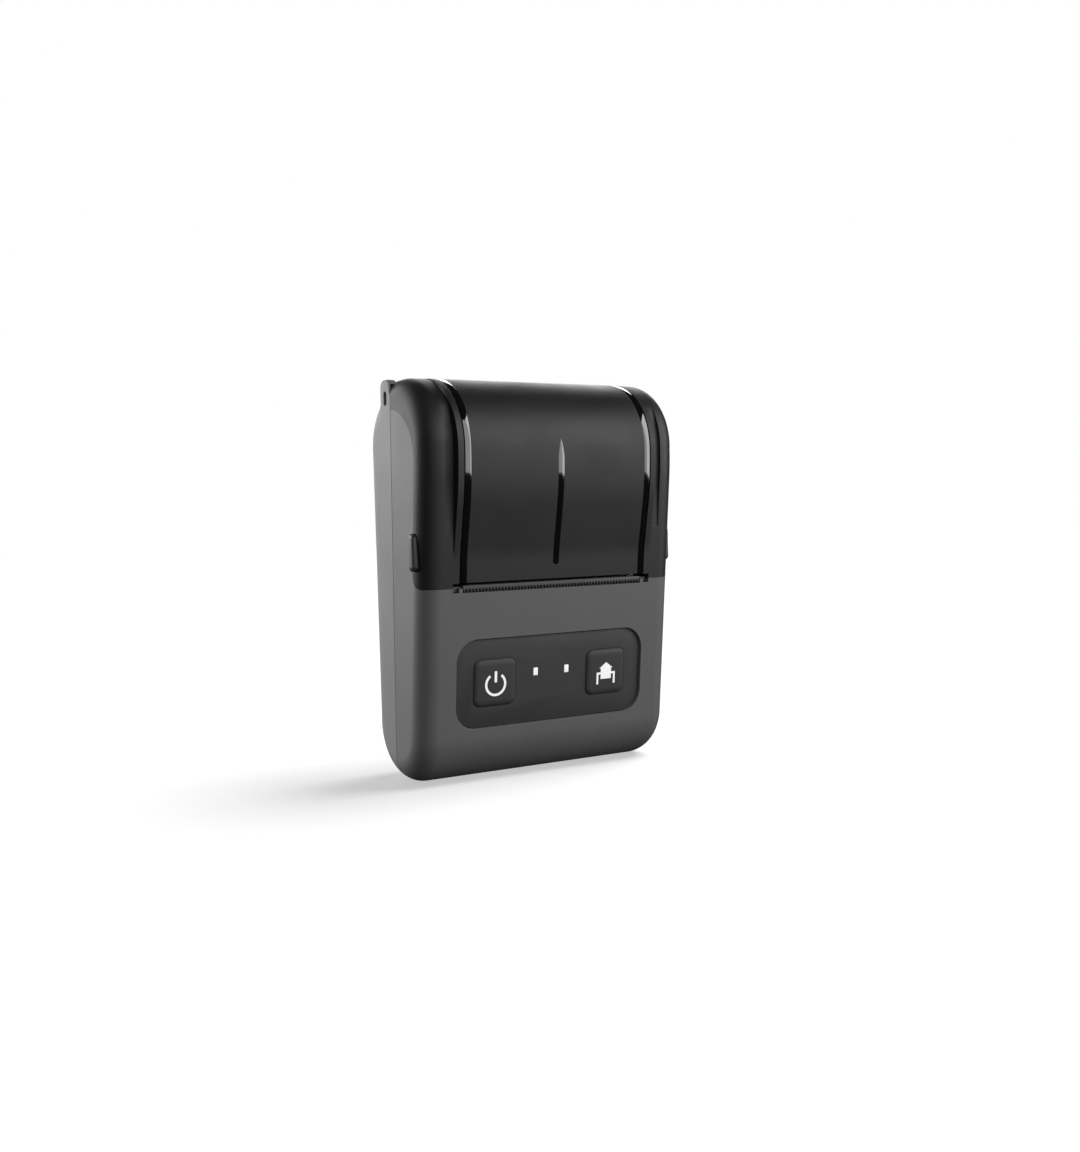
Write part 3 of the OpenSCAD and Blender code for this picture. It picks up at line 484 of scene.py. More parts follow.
def tubWall(k):
    t = tubPart
    x0, x1 = span(k, t["inX"], t["outX"])
    wall = keep(prism(x0, x1, side(body["wall"] + 0.2)), block(-farX, farX, 2, 62, case["lidZ"], farTop))
    front = prism(x0, x1, side(body["wall"] - 0.5))
    join(wall, keep(front, beforeSeam(0.4), block(-farX, farX, 2, 62, case["lidZ"], farTop)))
    return cut(wall, block(*span(k, t["inX"] - 1, t["pocketX"]), t["pocketS"], 60, 50, t["pocketZ"]),
               block(*span(k, t["inX"] - 1, 40), -1, t["pocketS"] - 2, 50, t["floorZ"] - t["floorT"]))


def topCover():
    t = tubPart
    shell = keep(skin("topCover"), beforeSeam(), block(-farX, farX, 0, farFront, body["splitZ"], farTop))
    cut(shell, prism(-farX, farX, cheekOutline()), *channelCut())
    parts = [tubWall(1), tubWall(-1)]
    s, half, (low, high) = t["lifterS"], t["shelfHalf"], t["lifterZ"]
    for k in (1, -1):
        parts += [block(*span(k, t["outX"] - 0.3, t["shelfX"]), s - half, s + half, low - 1.7, low - 0.3),
                  post(k * t["lifterX"], s, low - 0.5, high + 0.4, 1),
                  block(*span(k, t["outX"] - 0.3, t["stopX"]), *t["stopS"], *t["stopZ"])]
    floorX = t["inX"] + 0.5
    parts += [block(-floorX, floorX, 2.2, t["frontS"] + 1.2, t["floorZ"] - t["floorT"], t["floorZ"]),
              block(0.3 - t["inX"], t["inX"] - 0.3, t["frontS"], t["frontS"] + 1.2, 58, t["floorZ"])]
    join(shell, *parts)
    half = case["slotHalf"]
    cut(shell, block(-half, half, 30, 70, body["splitZ"] - 1, 100), *lidSlot(), *mouthCut(), *buttonCut(),
        seamGroove(), *sidePair(29, 33, 27.2, 31.4, low - 0.3, high + 0.3),
        rod(-t["outX"] - 1, t["outX"] + 1, hingeC, t["pinR"]))
    return smooth(shell)


# the lid: a band of the side outline from the hinge round to the mouth
def bandRegion(x0, x1, lowZ, lowS=14):
    return prism(x0, x1, [hingeC, (hingeC[0] - 30, hingeC[1] + 30), (80, 150), (80, lowZ),
                          (lowS, lowZ), (14, 90)])


def lidBand(x0, x1, t0, t1):
    band = keep(prism(x0, x1, side(t0)), bandRegion(x0 - 1, x1 + 1, lidPart["bottomZ"]))
    return cut(band, prism(x0 - 1, x1 + 1, side(t1)))


def grooveTool():
    half = lidPart["stripWidth"] / 2
    ring = arc((0, 62.8), half, 180, 360, 20)
    ring += [(half, 93), (0.55, 96), (0.04, 98), (-0.04, 98), (-0.55, 96), (-half, 93)]
    return loft("groove", [[(x, s, z) for x, z in ring] for s in (30, 60)])


def lidSkin():
    half, skinT, inset = lidPart["width"] / 2, lidPart["skin"], lidPart["stripDepth"]
    band = lidBand(-half + lidPart["stripWidth"], half - lidPart["stripWidth"], 0, skinT)
    roll = cut(rod(-half, half, hingeC, rollR), rod(-half - 1, half + 1, hingeC, rollR - skinT))
    s, z = hingeC
    keep(roll, prism(-half, half, [hingeC, (s - 20, z + 20), (s - 40, z), (s - 20, z - 8)]))
    join(band, lidBand(-half, half, inset, skinT), roll)
    cut(band, cut(grooveTool(), prism(-9, 9, side(inset))), rod(28.8, 30.8, platenC, 5.9))
    band.name = "lidSkin"
    return smooth(band)


def sideStrip(k):
    half, w = lidPart["width"] / 2, lidPart["stripWidth"]
    strip = lidBand(*span(k, half, half - w), 0, lidPart["stripDepth"])
    strip.name = "lidStripLeft" if k < 0 else "lidStripRight"
    return smooth(bevel(strip, 0.18, 50, 3))


def centreStrip():
    strip = keep(lidBand(-2, 2, 0, lidPart["stripDepth"]), grooveTool())
    strip.name = "lidStripCentre"
    return smooth(bevel(strip, 0.12, 50, 3))


def lidLiner():
    edge, inner = 28.7, 27.2
    skinT, total = lidPart["skin"], lidPart["skin"] + lidPart["liner"]
    region = bandRegion(-edge - 1, edge + 1, 68, 30)
    liner = cut(keep(prism(-edge, edge, side(skinT)), region), prism(-edge - 1, edge + 1, side(total)))
    s, z = hingeC
    for k in (1, -1):
        a0, a1 = span(k, inner, edge - 0.1)
        b0, b1 = span(k, edge - 3, edge)
        cheek = prism(a0, a1, [(28.5, 62.5), (30.1, 71), (50, 75), (50, 59.5), (33.1, 59.5)])
        bracket = join(rod(a0, a1, platenC, 3.4), cheek)
        keep(bracket, prism(a0 - 1, a1 + 1, side(skinT)))
        arm = join(rod(b0, b1, hingeC, 3.2), block(b0, b1, s, s + 6, z - 3.2, z + 9.8))
        keep(arm, prism(b0 - 1, b1 + 1, side(skinT)))
        join(liner, bracket, arm,
             block(*span(k, edge - 0.2, 30.3), 30.8, faceS(68.3) - skinT - 0.1, 68.3, 70.7))
    cut(liner, rod(-40, 40, hingeC, 1.3), rod(-edge - 1, edge + 1, platenC, 2.6))
    liner.name = "lidLiner"
    return smooth(liner)


shells = {
    "rear_shell": rearShell(), "front_shell": frontShell(), "top_cover": topCover(), "lid": lidSkin(),
    "lid_liner": lidLiner(), "lid_strip_left": sideStrip(-1), "lid_strip_right": sideStrip(1),
    "lid_strip_centre": centreStrip(),
}
shellBody = {n: "base" if n in ("rear_shell", "front_shell", "top_cover") else "lid" for n in shells}
print("shells made:", {n: len(o.data.polygons) for n, o in shells.items()})


# Geometry Nodes: a row of small prisms, and a spring
def numberSockets(tree, names):
    for name, value in names:
        kind = "NodeSocketInt" if isinstance(value, int) else "NodeSocketFloat"
        tree.interface.new_socket(name, in_out="INPUT", socket_type=kind).default_value = value


def geometryTree(name, numbers):
    tree = bpy.data.node_groups.new(name, "GeometryNodeTree")
    tree.interface.new_socket("Geometry", in_out="INPUT", socket_type="NodeSocketGeometry")
    numberSockets(tree, numbers)
    tree.interface.new_socket("Material", in_out="INPUT", socket_type="NodeSocketMaterial")
    tree.interface.new_socket("Geometry", in_out="OUTPUT", socket_type="NodeSocketGeometry")
    return tree, tree.nodes.new("NodeGroupInput"), tree.nodes.new("NodeGroupOutput")


# each link as (node, output, node, input)
def wire(tree, *links):
    for source, output, target, socket in links:
        tree.links.new(source.outputs[output], target.inputs[socket])


# the end of either tree: what was made, realised and in the given material
def finishTree(tree, into, out, made):
    real, finish = tree.nodes.new("GeometryNodeRealizeInstances"), tree.nodes.new("GeometryNodeSetMaterial")
    wire(tree, (made, 0, real, 0), (real, 0, finish, 0), (into, "Material", finish, "Material"),
         (finish, 0, out, 0))
    return tree


def rowGroup():
    numbers = (("Count", 5), ("Corners", 3), ("Pitch X", 0.001), ("Pitch Z", 0.0), ("Middle Y", 0.0),
               ("Middle Z", 0.0), ("Width", 0.001), ("Height", 0.001), ("Depth", 0.001))
    tree, into, out = geometryTree("prismRow", numbers)
    given = into.outputs

    def fed(made, *values):
        for socket, value in zip(made.inputs, values):
            if isinstance(value, (int, float)):
                socket.default_value = value
            else:
                tree.links.new(value, socket)
        return made.outputs[0]

    def math2(operation, a, b):
        made = tree.nodes.new("ShaderNodeMath")
        made.operation = operation
        return fed(made, a, b)

    def vector(x, y, z):
        return fed(tree.nodes.new("ShaderNodeCombineXYZ"), x, y, z)

    back = math2("MULTIPLY", math2("SUBTRACT", given["Count"], 1), -0.5)
    line = tree.nodes.new("GeometryNodeMeshLine")
    line.mode = "OFFSET"
    wire(tree, (into, "Count", line, "Count"))
    startZ = math2("ADD", math2("MULTIPLY", back, given["Pitch Z"]), given["Middle Z"])
    start = vector(math2("MULTIPLY", back, given["Pitch X"]), given["Middle Y"], startZ)
    tree.links.new(start, line.inputs["Start Location"])
    tree.links.new(vector(given["Pitch X"], 0, given["Pitch Z"]), line.inputs["Offset"])
    prismNode, shape = tree.nodes.new("GeometryNodeMeshCylinder"), tree.nodes.new("GeometryNodeTransform")
    prismNode.inputs["Radius"].default_value = 1.0
    prismNode.inputs["Depth"].default_value = 1.0
    shape.inputs["Rotation"].default_value = (0, math.pi / 2, math.pi / 2)
    tree.links.new(vector(given["Height"], given["Width"], given["Depth"]), shape.inputs["Scale"])
    spread, both = tree.nodes.new("GeometryNodeInstanceOnPoints"), tree.nodes.new("GeometryNodeJoinGeometry")
    wire(tree, (into, "Corners", prismNode, "Vertices"), (prismNode, "Mesh", shape, "Geometry"),
         (line, "Mesh", spread, "Points"), (shape, "Geometry", spread, "Instance"),
         (spread, "Instances", both, "Geometry"), (into, "Geometry", both, "Geometry"))
    return finishTree(tree, into, out, both)


def springGroup():
    numbers = (("Radius", 0.001), ("Wire", 0.0002), ("Length", 0.004), ("Turns", 5.0))
    tree, into, out = geometryTree("spring", numbers)
    coil = tree.nodes.new("GeometryNodeCurveSpiral")
    section = tree.nodes.new("GeometryNodeCurvePrimitiveCircle")
    coil.inputs["Resolution"].default_value = 28
    section.inputs["Resolution"].default_value = 10
    tube = tree.nodes.new("GeometryNodeCurveToMesh")
    tube.inputs["Fill Caps"].default_value = True
    wire(tree, (into, "Radius", coil, "Start Radius"), (into, "Radius", coil, "End Radius"),
         (into, "Length", coil, "Height"), (into, "Turns", coil, "Rotations"),
         (into, "Wire", section, "Radius"), (coil, "Curve", tube, "Curve"),
         (section, "Curve", tube, "Profile Curve"))
    return finishTree(tree, into, out, tube)


def grown(obj, tree, **values):
    mod = obj.modifiers.new("grown", "NODES")
    mod.node_group = tree
    for item in tree.interface.items_tree:
        key = item.name.replace(" ", "")
        if item.item_type == "SOCKET" and item.in_out == "INPUT" and key in values:
            mod[item.identifier] = values[key]
    return applied(obj)


rowTree, springTree = rowGroup(), springGroup()


# key panel, keys, signs and lamps; heights are out of the front face
keypad = {
    "soft": 0.2, "panelTop": -0.8, "keyX": 19, "keyW": 13.8, "keyR": 2.3, "gap": 0.04, "top": -0.1,
    "lampX": 5.3, "lampY": 2, "lampW": 1.5, "lampH": 2.3, "signLow": -0.15, "signHigh": -0.06,
    "signY": -0.45, "ringR": 3.1, "ringW": 0.72, "ringGap": 36, "barW": 0.8, "barTop": 3.9, "barLow": 0.5,
}


def keyPanel():
    w, h, r = case["panelW"] - 0.3, case["panelH"] - 0.3, case["panelR"] - 0.15
    soft, top, gap = keypad["soft"], keypad["panelTop"], keypad["gap"]
    plate = plateOn("keyPanel", 0, 0, w, h, r, [(-2.4, 0), (top - soft, 0), (-0.86, 0.06), (top, soft)], 24)
    join(plate, plateOn("flange", 0, 0, w + 3.3, h + 2.3, r + 1.15, [(-3.4, 0), (-2.3, 0)], 16))
    hole, through = keypad["keyW"] + 2 * gap, [(-4, 0), (1, 0)]
    holes = [plateOn("hole", k * keypad["keyX"], 0, hole, hole, keypad["keyR"] + gap, through)
             for k in (1, -1)]
    slots = [plateOn("slot", k * keypad["lampX"], keypad["lampY"], 1.6, 2.4, 0.2, through) for k in (1, -1)]
    return smooth(cut(plate, *holes, *slots))


def keyCap(k, name):
    top = keypad["top"]
    levels = [(-4.6, -1), (-3.5, -1), (-3.48, 0), (top - 0.86, 0), (top - 0.66, 0.06), (top - 0.44, 0.25),
              (top - 0.25, 0.55), (top - 0.11, 0.95), (top - 0.03, 1.4), (top, 1.95)]
    x, w, r = k * keypad["keyX"], keypad["keyW"], keypad["keyR"]
    return smooth(plateOn(name, x, 0, w, w, r, levels), 50)


def signPlate(name, k, *shapes):
    parts = [loft(name, [[onFront(k * keypad["keyX"] + x, keypad["signY"] + y, h) for x, y in pts]
                         for h in (keypad["signLow"], keypad["signHigh"])]) for pts in shapes]
    return smooth(join(parts[0], *parts[1:]) if len(parts) > 1 else parts[0])


def powerSign():
    g = keypad
    a0, a1 = 90 + g["ringGap"], 450 - g["ringGap"]
    outer, inner = g["ringR"] + g["ringW"] / 2, g["ringR"] - g["ringW"] / 2
    ring = arc((0, 0), outer, a0, a1, 48) + arc((0, 0), inner, a1, a0, 48)
    half = g["barW"] / 2
    bar = arc((0, g["barTop"] - half), half, 0, 180, 12) + arc((0, g["barLow"] + half), half, 180, 360, 12)
    return signPlate("powerSign", -1, ring, bar)


def feedSign():
    right = [(0, 3.35), (2.4, 1.55), (1.85, 1.55), (1.85, 0.35), (3.3, 0.35), (3.3, -3.25), (2.65, -3.25),
             (2.65, -0.3), (1.85, -0.3), (1.85, -1.7)]
    return signPlate("feedSign", 1, right + [(-x, y) for x, y in reversed(right[1:])])


def lightGuides():
    g, levels = keypad, [(-6.2, 0), (-0.9, 0), (-0.82, 0.03), (-0.78, 0.12)]
    size = (g["lampY"], g["lampW"], g["lampH"], 0.25)
    return smooth(join(*[plateOn("lightGuides", k * g["lampX"], *size, levels, 6) for k in (1, -1)]))


# the tear bar with a clip at each end, and its teeth
tear = {
    "halfW": 30.1, "backS": 34.9, "lowZ": 56.05, "topZ": 57.05, "inset": 0.1, "footDepth": 0.75,
    "soft": 0.14, "clipX": 33.2, "clipZ": (55.3, 56.8), "pitch": 1.06, "count": 57, "toothW": 0.92,
    "toothH": 1.0, "toothDepth": 0.8,
}


def tearBar():
    g = tear
    half, back, front = g["halfW"], g["backS"], faceS(g["lowZ"]) - g["inset"]
    bar = bevel(block(-half, half, back, front, g["lowZ"], g["topZ"]), g["soft"], 40, 3)
    foot = block(-half + 0.05, half - 0.05, back + 0.05, front - g["footDepth"], case["mouthZ"] + 0.1,
                 g["lowZ"] + 0.1)
    join(bar, foot, *sidePair(half - 0.5, g["clipX"], back + 0.1, case["clipS"], *g["clipZ"]))
    return smooth(bar)


# the teeth hang in front of the bar's foot, painted dark for the shade between the serrations
def tearTeeth(material):
    g = tear
    midY = backY - (faceS(g["lowZ"]) - g["inset"]) + g["toothDepth"] / 2 + 0.03
    midZ = g["lowZ"] + 0.1 - g["toothH"] / 3
    return grown(emptyPiece("tearTeeth"), rowTree, Count=g["count"], Corners=3, PitchX=g["pitch"] * mm,
                 PitchZ=0.0, MiddleY=midY * mm, MiddleZ=midZ * mm, Width=g["toothW"] * mm / math.sqrt(3),
                 Height=g["toothH"] * mm / 1.5, Depth=g["toothDepth"] * mm, Material=material)


# side buttons on their carriers, and the springs behind them
press = {
    "out": 43.9, "carrierX": 38, "stemX": 35.95, "stemC": (23.7, 69.5), "springC": (30.8, 63.9), "endR": 1.2,
    "pillow": 0.6, "pressed": 0.82, "springR": 1.8, "springWire": 0.25, "springTurns": 5.0,
}


def sideButton(k, name):
    s, z, x, out, soft = case["buttonS"], case["buttonZ"], press["carrierX"], press["out"], press["pillow"]
    cs, cz, w, h = (s[0] + s[1]) / 2, (z[0] + z[1]) / 2, s[1] - s[0], z[1] - z[0]
    rings = []
    for at, inset in ((x + 0.5, 0), (out - soft, 0), (out - soft * 0.7, 0.05), (out - soft * 0.42, 0.2),
                      (out - soft * 0.2, 0.45), (out - soft * 0.05, 0.8), (out, 1.2)):
        ring = roundedRect(w - 2 * inset, h - 2 * inset, max(press["endR"] - inset, 0.06), 8)
        rings.append([(k * at, cs + a, cz + b) for a, b in ring])
    cap = loft(name, rings)
    join(cap, bevel(block(*span(k, x, x + 1.2), 22.6, s[1] - 0.2, 60.8, 72.4), 0.2),
         rod(*span(k, press["stemX"], x + 0.5), press["stemC"], 0.8, 24),
         rod(*span(k, x - 3, x + 0.5), press["springC"], 1.2, 24))
    return smooth(cap, 50)


def buttonSpring(k, name, material):
    x0, length, thin = tubPart["outX"], press["carrierX"] - tubPart["outX"] - 0.1, press["springWire"]
    obj = emptyPiece(name)
    grown(obj, springTree, Radius=press["springR"] * mm, Wire=thin * mm, Length=(length - 2 * thin) * mm,
          Turns=press["springTurns"], Material=material)
    turn = Matrix.Rotation(k * math.pi / 2, 4, "Y")
    obj.data.transform(Matrix.Translation(place((k * (x0 + thin), *press["springC"]))) @ turn)
    obj.data.shade_smooth()
    return obj


# the two springs that press the print head up
headSpring = {
    "x": 9, "s": 28.6, "z": 49.6, "radius": 1.6, "wire": 0.25, "height": 3.4, "turns": 4.0, "pressed": 0.87,
}


def headSprings(material):
    g = headSpring
    obj = emptyPiece("headSprings")
    grown(obj, springTree, Radius=g["radius"] * mm, Wire=g["wire"] * mm,
          Length=(g["height"] - 2 * g["wire"]) * mm, Turns=g["turns"], Material=material)
    obj.data.transform(Matrix.Translation(place((-g["x"], g["s"], g["z"] + g["wire"]))))
    bm = bmesh.new()
    bm.from_mesh(obj.data)
    second = bmesh.ops.duplicate(bm, geom=bm.verts[:] + bm.edges[:] + bm.faces[:])["geom"]
    bmesh.ops.translate(bm, verts=[v for v in second if isinstance(v, bmesh.types.BMVert)],
                        vec=(2 * g["x"] * mm, 0, 0))
    bm.to_mesh(obj.data)
    bm.free()
    obj.data.shade_smooth()
    return obj


# the battery door, its thumb notch ribbed
door = {
    "notchHalf": 7, "notchLow": 54.6, "notchTop": 59.4, "notchDepth": 0.8, "notchR": 2.2, "pinR": 0.45,
    "pinEnd": 0.9, "ribs": 4, "ribPitch": 1.0, "ribLength": 9.6, "ribWidth": 0.44, "ribHeight": 0.5,
    "soft": 0.25,
}


def batteryDoor(material):
    g, x, top = door, case["doorX"], case["doorZ"][1]
    plate = block(-x, x, 0, case["doorT"], doorPin[1], top)
    join(plate, rod(-x, x, doorPin, case["doorT"] / 2))
    plate = bevel(plate, g["soft"], 40, 3)
    notch = roundedRect(2 * g["notchHalf"], g["notchTop"] - g["notchLow"], g["notchR"], 10)
    mid = (g["notchTop"] + g["notchLow"]) / 2
    levels = ((-1, 1.06), (0, 1.0), (g["notchDepth"], 0.93))
    cut(plate, loft("notch", [[(a * f, s, mid + b * f) for a, b in notch] for s, f in levels]))
    join(plate, rod(-x - g["pinEnd"], x + g["pinEnd"], doorPin, g["pinR"], 24))
    plate.name = "batteryDoor"
    smooth(plate)
    midY = backY - g["notchDepth"] + g["ribHeight"] / 2 - 0.1
    return grown(plate, rowTree, Count=g["ribs"], Corners=24, PitchX=0.0, PitchZ=g["ribPitch"] * mm,
                 MiddleY=midY * mm, MiddleZ=mid * mm,
                 Width=g["ribLength"] / 2 * mm, Height=g["ribWidth"] / 2 * mm,
                 Depth=g["ribHeight"] * mm, Material=material)


# materials
def newMaterial(name):
    mat = bpy.data.materials.new(name)
    mat.use_nodes = True
    return mat, mat.node_tree, mat.node_tree.nodes["Principled BSDF"]


def node(tree, kind, **values):
    made = tree.nodes.new(kind)
    for key, value in values.items():
        if key in made.inputs:
            made.inputs[key].default_value = value
        else:
            setattr(made, key, value)
    return made


# moulded surface: grain height, patches, an edge mask for wear and a painted edge highlight, and a normal
# that rounds sharp edges
def grainGroup():
    tree = bpy.data.node_groups.new("mouldedGrain", "ShaderNodeTree")
    face = tree.interface
    for name, value in (("Scale", 900.0), ("Patches", 60.0), ("Edge Radius", 0.0002)):
        face.new_socket(name, in_out="INPUT", socket_type="NodeSocketFloat").default_value = value
    for name in ("Height", "Mask", "Edge"):
        face.new_socket(name, in_out="OUTPUT", socket_type="NodeSocketFloat")
    face.new_socket("Normal", in_out="OUTPUT", socket_type="NodeSocketVector")
    into, out = node(tree, "NodeGroupInput"), node(tree, "NodeGroupOutput")
    coords = node(tree, "ShaderNodeTexCoord")
    fine = node(tree, "ShaderNodeTexNoise", Detail=4.0, Roughness=0.6)
    cells = node(tree, "ShaderNodeTexVoronoi")
    broad = node(tree, "ShaderNodeTexNoise", Detail=3.0)
    scuffs = node(tree, "ShaderNodeTexNoise", Scale=420.0, Detail=5.0, Roughness=0.7)
    mix = node(tree, "ShaderNodeMath", operation="MULTIPLY_ADD")
    mix.inputs[1].default_value = 0.5
    rounded, shape = node(tree, "ShaderNodeBevel", samples=4), node(tree, "ShaderNodeNewGeometry")
    turn = node(tree, "ShaderNodeVectorMath", operation="DOT_PRODUCT")
    bend = node(tree, "ShaderNodeMapRange",
                **{"From Min": 0.995, "From Max": 0.9, "To Min": 0.0, "To Max": 1.0})
    broken = node(tree, "ShaderNodeMapRange", **{"From Min": 0.42, "From Max": 0.62})
    wornAndHighlitEdge = node(tree, "ShaderNodeMath", operation="MULTIPLY")
    for tex in (fine, cells, broad, scuffs):
        wire(tree, (coords, "Object", tex, "Vector"))
    wire(tree, (into, "Scale", fine, "Scale"), (into, "Scale", cells, "Scale"),
         (into, "Patches", broad, "Scale"), (into, "Edge Radius", rounded, "Radius"),
         (cells, "Distance", mix, 0), (fine, "Fac", mix, 2),
         (rounded, "Normal", turn, 0), (shape, "Normal", turn, 1), (turn, "Value", bend, "Value"),
         (scuffs, "Fac", broken, "Value"), (bend, "Result", wornAndHighlitEdge, 0), (broken, "Result", wornAndHighlitEdge, 1),
         (mix, 0, out, "Height"), (broad, "Fac", out, "Mask"), (wornAndHighlitEdge, 0, out, "Edge"),
         (rounded, "Normal", out, "Normal"))
    return tree


grain = grainGroup()


# a moulded plastic; spread and tint vary its gloss and colour in patches, and its edges are lightened in
# broken patches, partly as wear and partly as a painted highlight
def mouldedPlastic(name, colour, roughness, scale=1100.0, bump=0.05, spread=0.06, coat=0.0, specular=0.5,
                   tint=0.06, wear=0.25, ior=1.5, glow=0.0, edge=0.2):
    mat, tree, shader = newMaterial(name)
    effect = node(tree, "ShaderNodeGroup")
    effect.node_tree = grain
    effect.inputs["Scale"].default_value = scale
    effect.inputs["Edge Radius"].default_value = edge * mm
    ramp = node(tree, "ShaderNodeMapRange",
                **{"To Min": roughness - spread, "To Max": roughness + spread,
                   "From Min": 0.3, "From Max": 0.7})
    shade, wornAndHighlitColour = (node(tree, "ShaderNodeMix", data_type="RGBA") for k in range(2))
    amount = node(tree, "ShaderNodeMath", operation="MULTIPLY")
    amount.inputs[1].default_value = wear
    shade.inputs[6].default_value = (*[c * (1 - tint) for c in colour], 1)
    shade.inputs[7].default_value = (*[min(1, c * (1 + tint)) for c in colour], 1)
    # the lighter edge colour is partly wear and partly a painted edge highlight
    wornAndHighlitColour.inputs[7].default_value = (*[min(1, c * 1.5 + 0.06) for c in colour], 1)
    height = node(tree, "ShaderNodeBump", Strength=bump, Distance=0.0001)
    wire(tree, (effect, "Mask", ramp, "Value"), (ramp, "Result", shader, "Roughness"),
         (effect, "Mask", shade, 0), (effect, "Edge", amount, 0), (amount, 0, wornAndHighlitColour, 0),
         (shade, 2, wornAndHighlitColour, 6),
         (wornAndHighlitColour, 2, shader, "Base Color"), (effect, "Height", height, "Height"),
         (effect, "Normal", height, "Normal"), (height, "Normal", shader, "Normal"))
    shader.inputs["Specular IOR Level"].default_value = specular
    shader.inputs["IOR"].default_value = ior
    if coat:
        shader.inputs["Coat Weight"].default_value = coat
        shader.inputs["Coat Roughness"].default_value = 0.03
    # painted glow: the part gives off a little light of its own though it is no lamp
    if glow:
        shader.inputs["Emission Color"].default_value = (*colour, 1)
        shader.inputs["Emission Strength"].default_value = glow
    return mat


# drawn or turned metal, its streaks along one axis
def streakedMetal(name, colour, roughness, stretch=(60, 900, 900), bump=0.04):
    mat, tree, shader = newMaterial(name)
    coords, mapping = node(tree, "ShaderNodeTexCoord"), node(tree, "ShaderNodeMapping")
    mapping.inputs["Scale"].default_value = stretch
    streaks = node(tree, "ShaderNodeTexNoise", Scale=1.0, Detail=5.0, Roughness=0.65)
    ramp = node(tree, "ShaderNodeMapRange", **{"To Min": roughness - 0.08, "To Max": roughness + 0.1})
    shade = node(tree, "ShaderNodeMix", data_type="RGBA")
    shade.inputs[6].default_value = (*[c * 0.86 for c in colour], 1)
    shade.inputs[7].default_value = (*colour, 1)
    height = node(tree, "ShaderNodeBump", Strength=bump, Distance=0.0001)
    wire(tree, (coords, "Object", mapping, "Vector"), (mapping, "Vector", streaks, "Vector"),
         (streaks, "Fac", ramp, "Value"), (streaks, "Fac", shade, 0), (streaks, "Fac", height, "Height"),
         (ramp, "Result", shader, "Roughness"), (shade, 2, shader, "Base Color"),
         (height, "Normal", shader, "Normal"))
    shader.inputs["Metallic"].default_value = 1.0
    return mat


# colour, roughness, and what else differs from a plain moulding
plastics = {
    "rearGrey": ((0.165, 0.165, 0.168), 0.58, {}),
    "frontGrey": ((0.125, 0.125, 0.128), 0.58, {}),
    "barGrey": ((0.075, 0.075, 0.077), 0.6, {"wear": 0.0, "edge": 0.03}),
    "coverBlack": ((0.013, 0.013, 0.014), 0.5, {"bump": 0.03, "wear": 0.12}),
    "glossBlack": ((0.003, 0.003, 0.0035), 0.07,
                   {"bump": 0.0, "spread": 0.02, "specular": 0.9, "coat": 0.3, "wear": 0.0, "ior": 1.68,
                    "edge": 0.08}),
    "panelDark": ((0.041, 0.041, 0.043), 0.6, {}),
    "buttonDark": ((0.04, 0.04, 0.042), 0.42, {}),
    # the white print and the lamp windows glow a little: painted brightness, as they are not lit
    "printWhite": ((0.9, 0.9, 0.9), 0.5,
                   {"bump": 0.02, "tint": 0.02, "wear": 0.0, "glow": 0.35, "edge": 0.05}),
    "rollerRubber": ((0.03, 0.03, 0.032), 0.7, {"scale": 2200.0, "bump": 0.12}),
    "gearNylon": ((0.78, 0.76, 0.7), 0.4, {"bump": 0.03}),
    "ceramicGlaze": ((0.24, 0.21, 0.18), 0.35, {"bump": 0.01, "coat": 0.1}),
    "boardGreen": ((0.02, 0.12, 0.06), 0.35, {"bump": 0.06, "coat": 0.3}),
    "partBlack": ((0.015, 0.015, 0.017), 0.45, {}),
    "filmAmber": ((0.42, 0.2, 0.03), 0.25, {"bump": 0.02, "coat": 0.3}),
    "packBlue": ((0.05, 0.09, 0.24), 0.3, {"bump": 0.05, "coat": 0.3}),
}
metals = {
    "steel": ((0.6, 0.61, 0.62), 0.32), "turnedBrass": ((0.72, 0.52, 0.22), 0.28),
    "milledAluminium": ((0.78, 0.79, 0.8), 0.35),
}
finishes = {}
for name, (colour, rough, more) in plastics.items():
    finishes[name] = mouldedPlastic(name, colour, rough, **more)
for name, (colour, rough) in metals.items():
    finishes[name] = streakedMetal(name, colour, rough)


def paint(obj, finish):
    obj.data.materials.clear()
    obj.data.materials.append(finishes[finish])


finishNodes = {
    "rearGrey": "rear_shell battery_door", "frontGrey": "front_shell",
    "coverBlack": "top_cover lid lid_liner",
    "glossBlack": "lid_strip_left lid_strip_right lid_strip_centre", "barGrey": "tear_bar",
    "panelDark": "key_panel power_key feed_key", "buttonDark": "button_left button_right",
    "printWhite": "light_guides lamps", "rollerRubber": "platen_rubber",
    "gearNylon": "platen_gear idler_gear connectors",
    "ceramicGlaze": "heater_strip", "boardGreen": "key_board main_board", "partBlack": "paper_sensor chips",
    "filmAmber": "head_flex key_flex", "packBlue": "battery_pack", "milledAluminium": "print_head",
    "turnedBrass": "platen_bushes motor_pinion battery_contacts",
    "steel": "case_screws hinge_pin platen_shaft mech_frame mech_screws head_pin head_springs motor "
             "lifter_left lifter_right button_spring_left button_spring_right key_switches board_screws "
             "radio_module usb_socket",
}
nodeFinish = {name: finish for finish, names in finishNodes.items() for name in names.split()}
for name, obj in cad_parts.items():
    paint(obj, nodeFinish[name])


def standIn(obj, nodeName, bodyName):
    paint(obj, nodeFinish[nodeName])
    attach(obj, bodyName)
    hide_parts(nodeName)


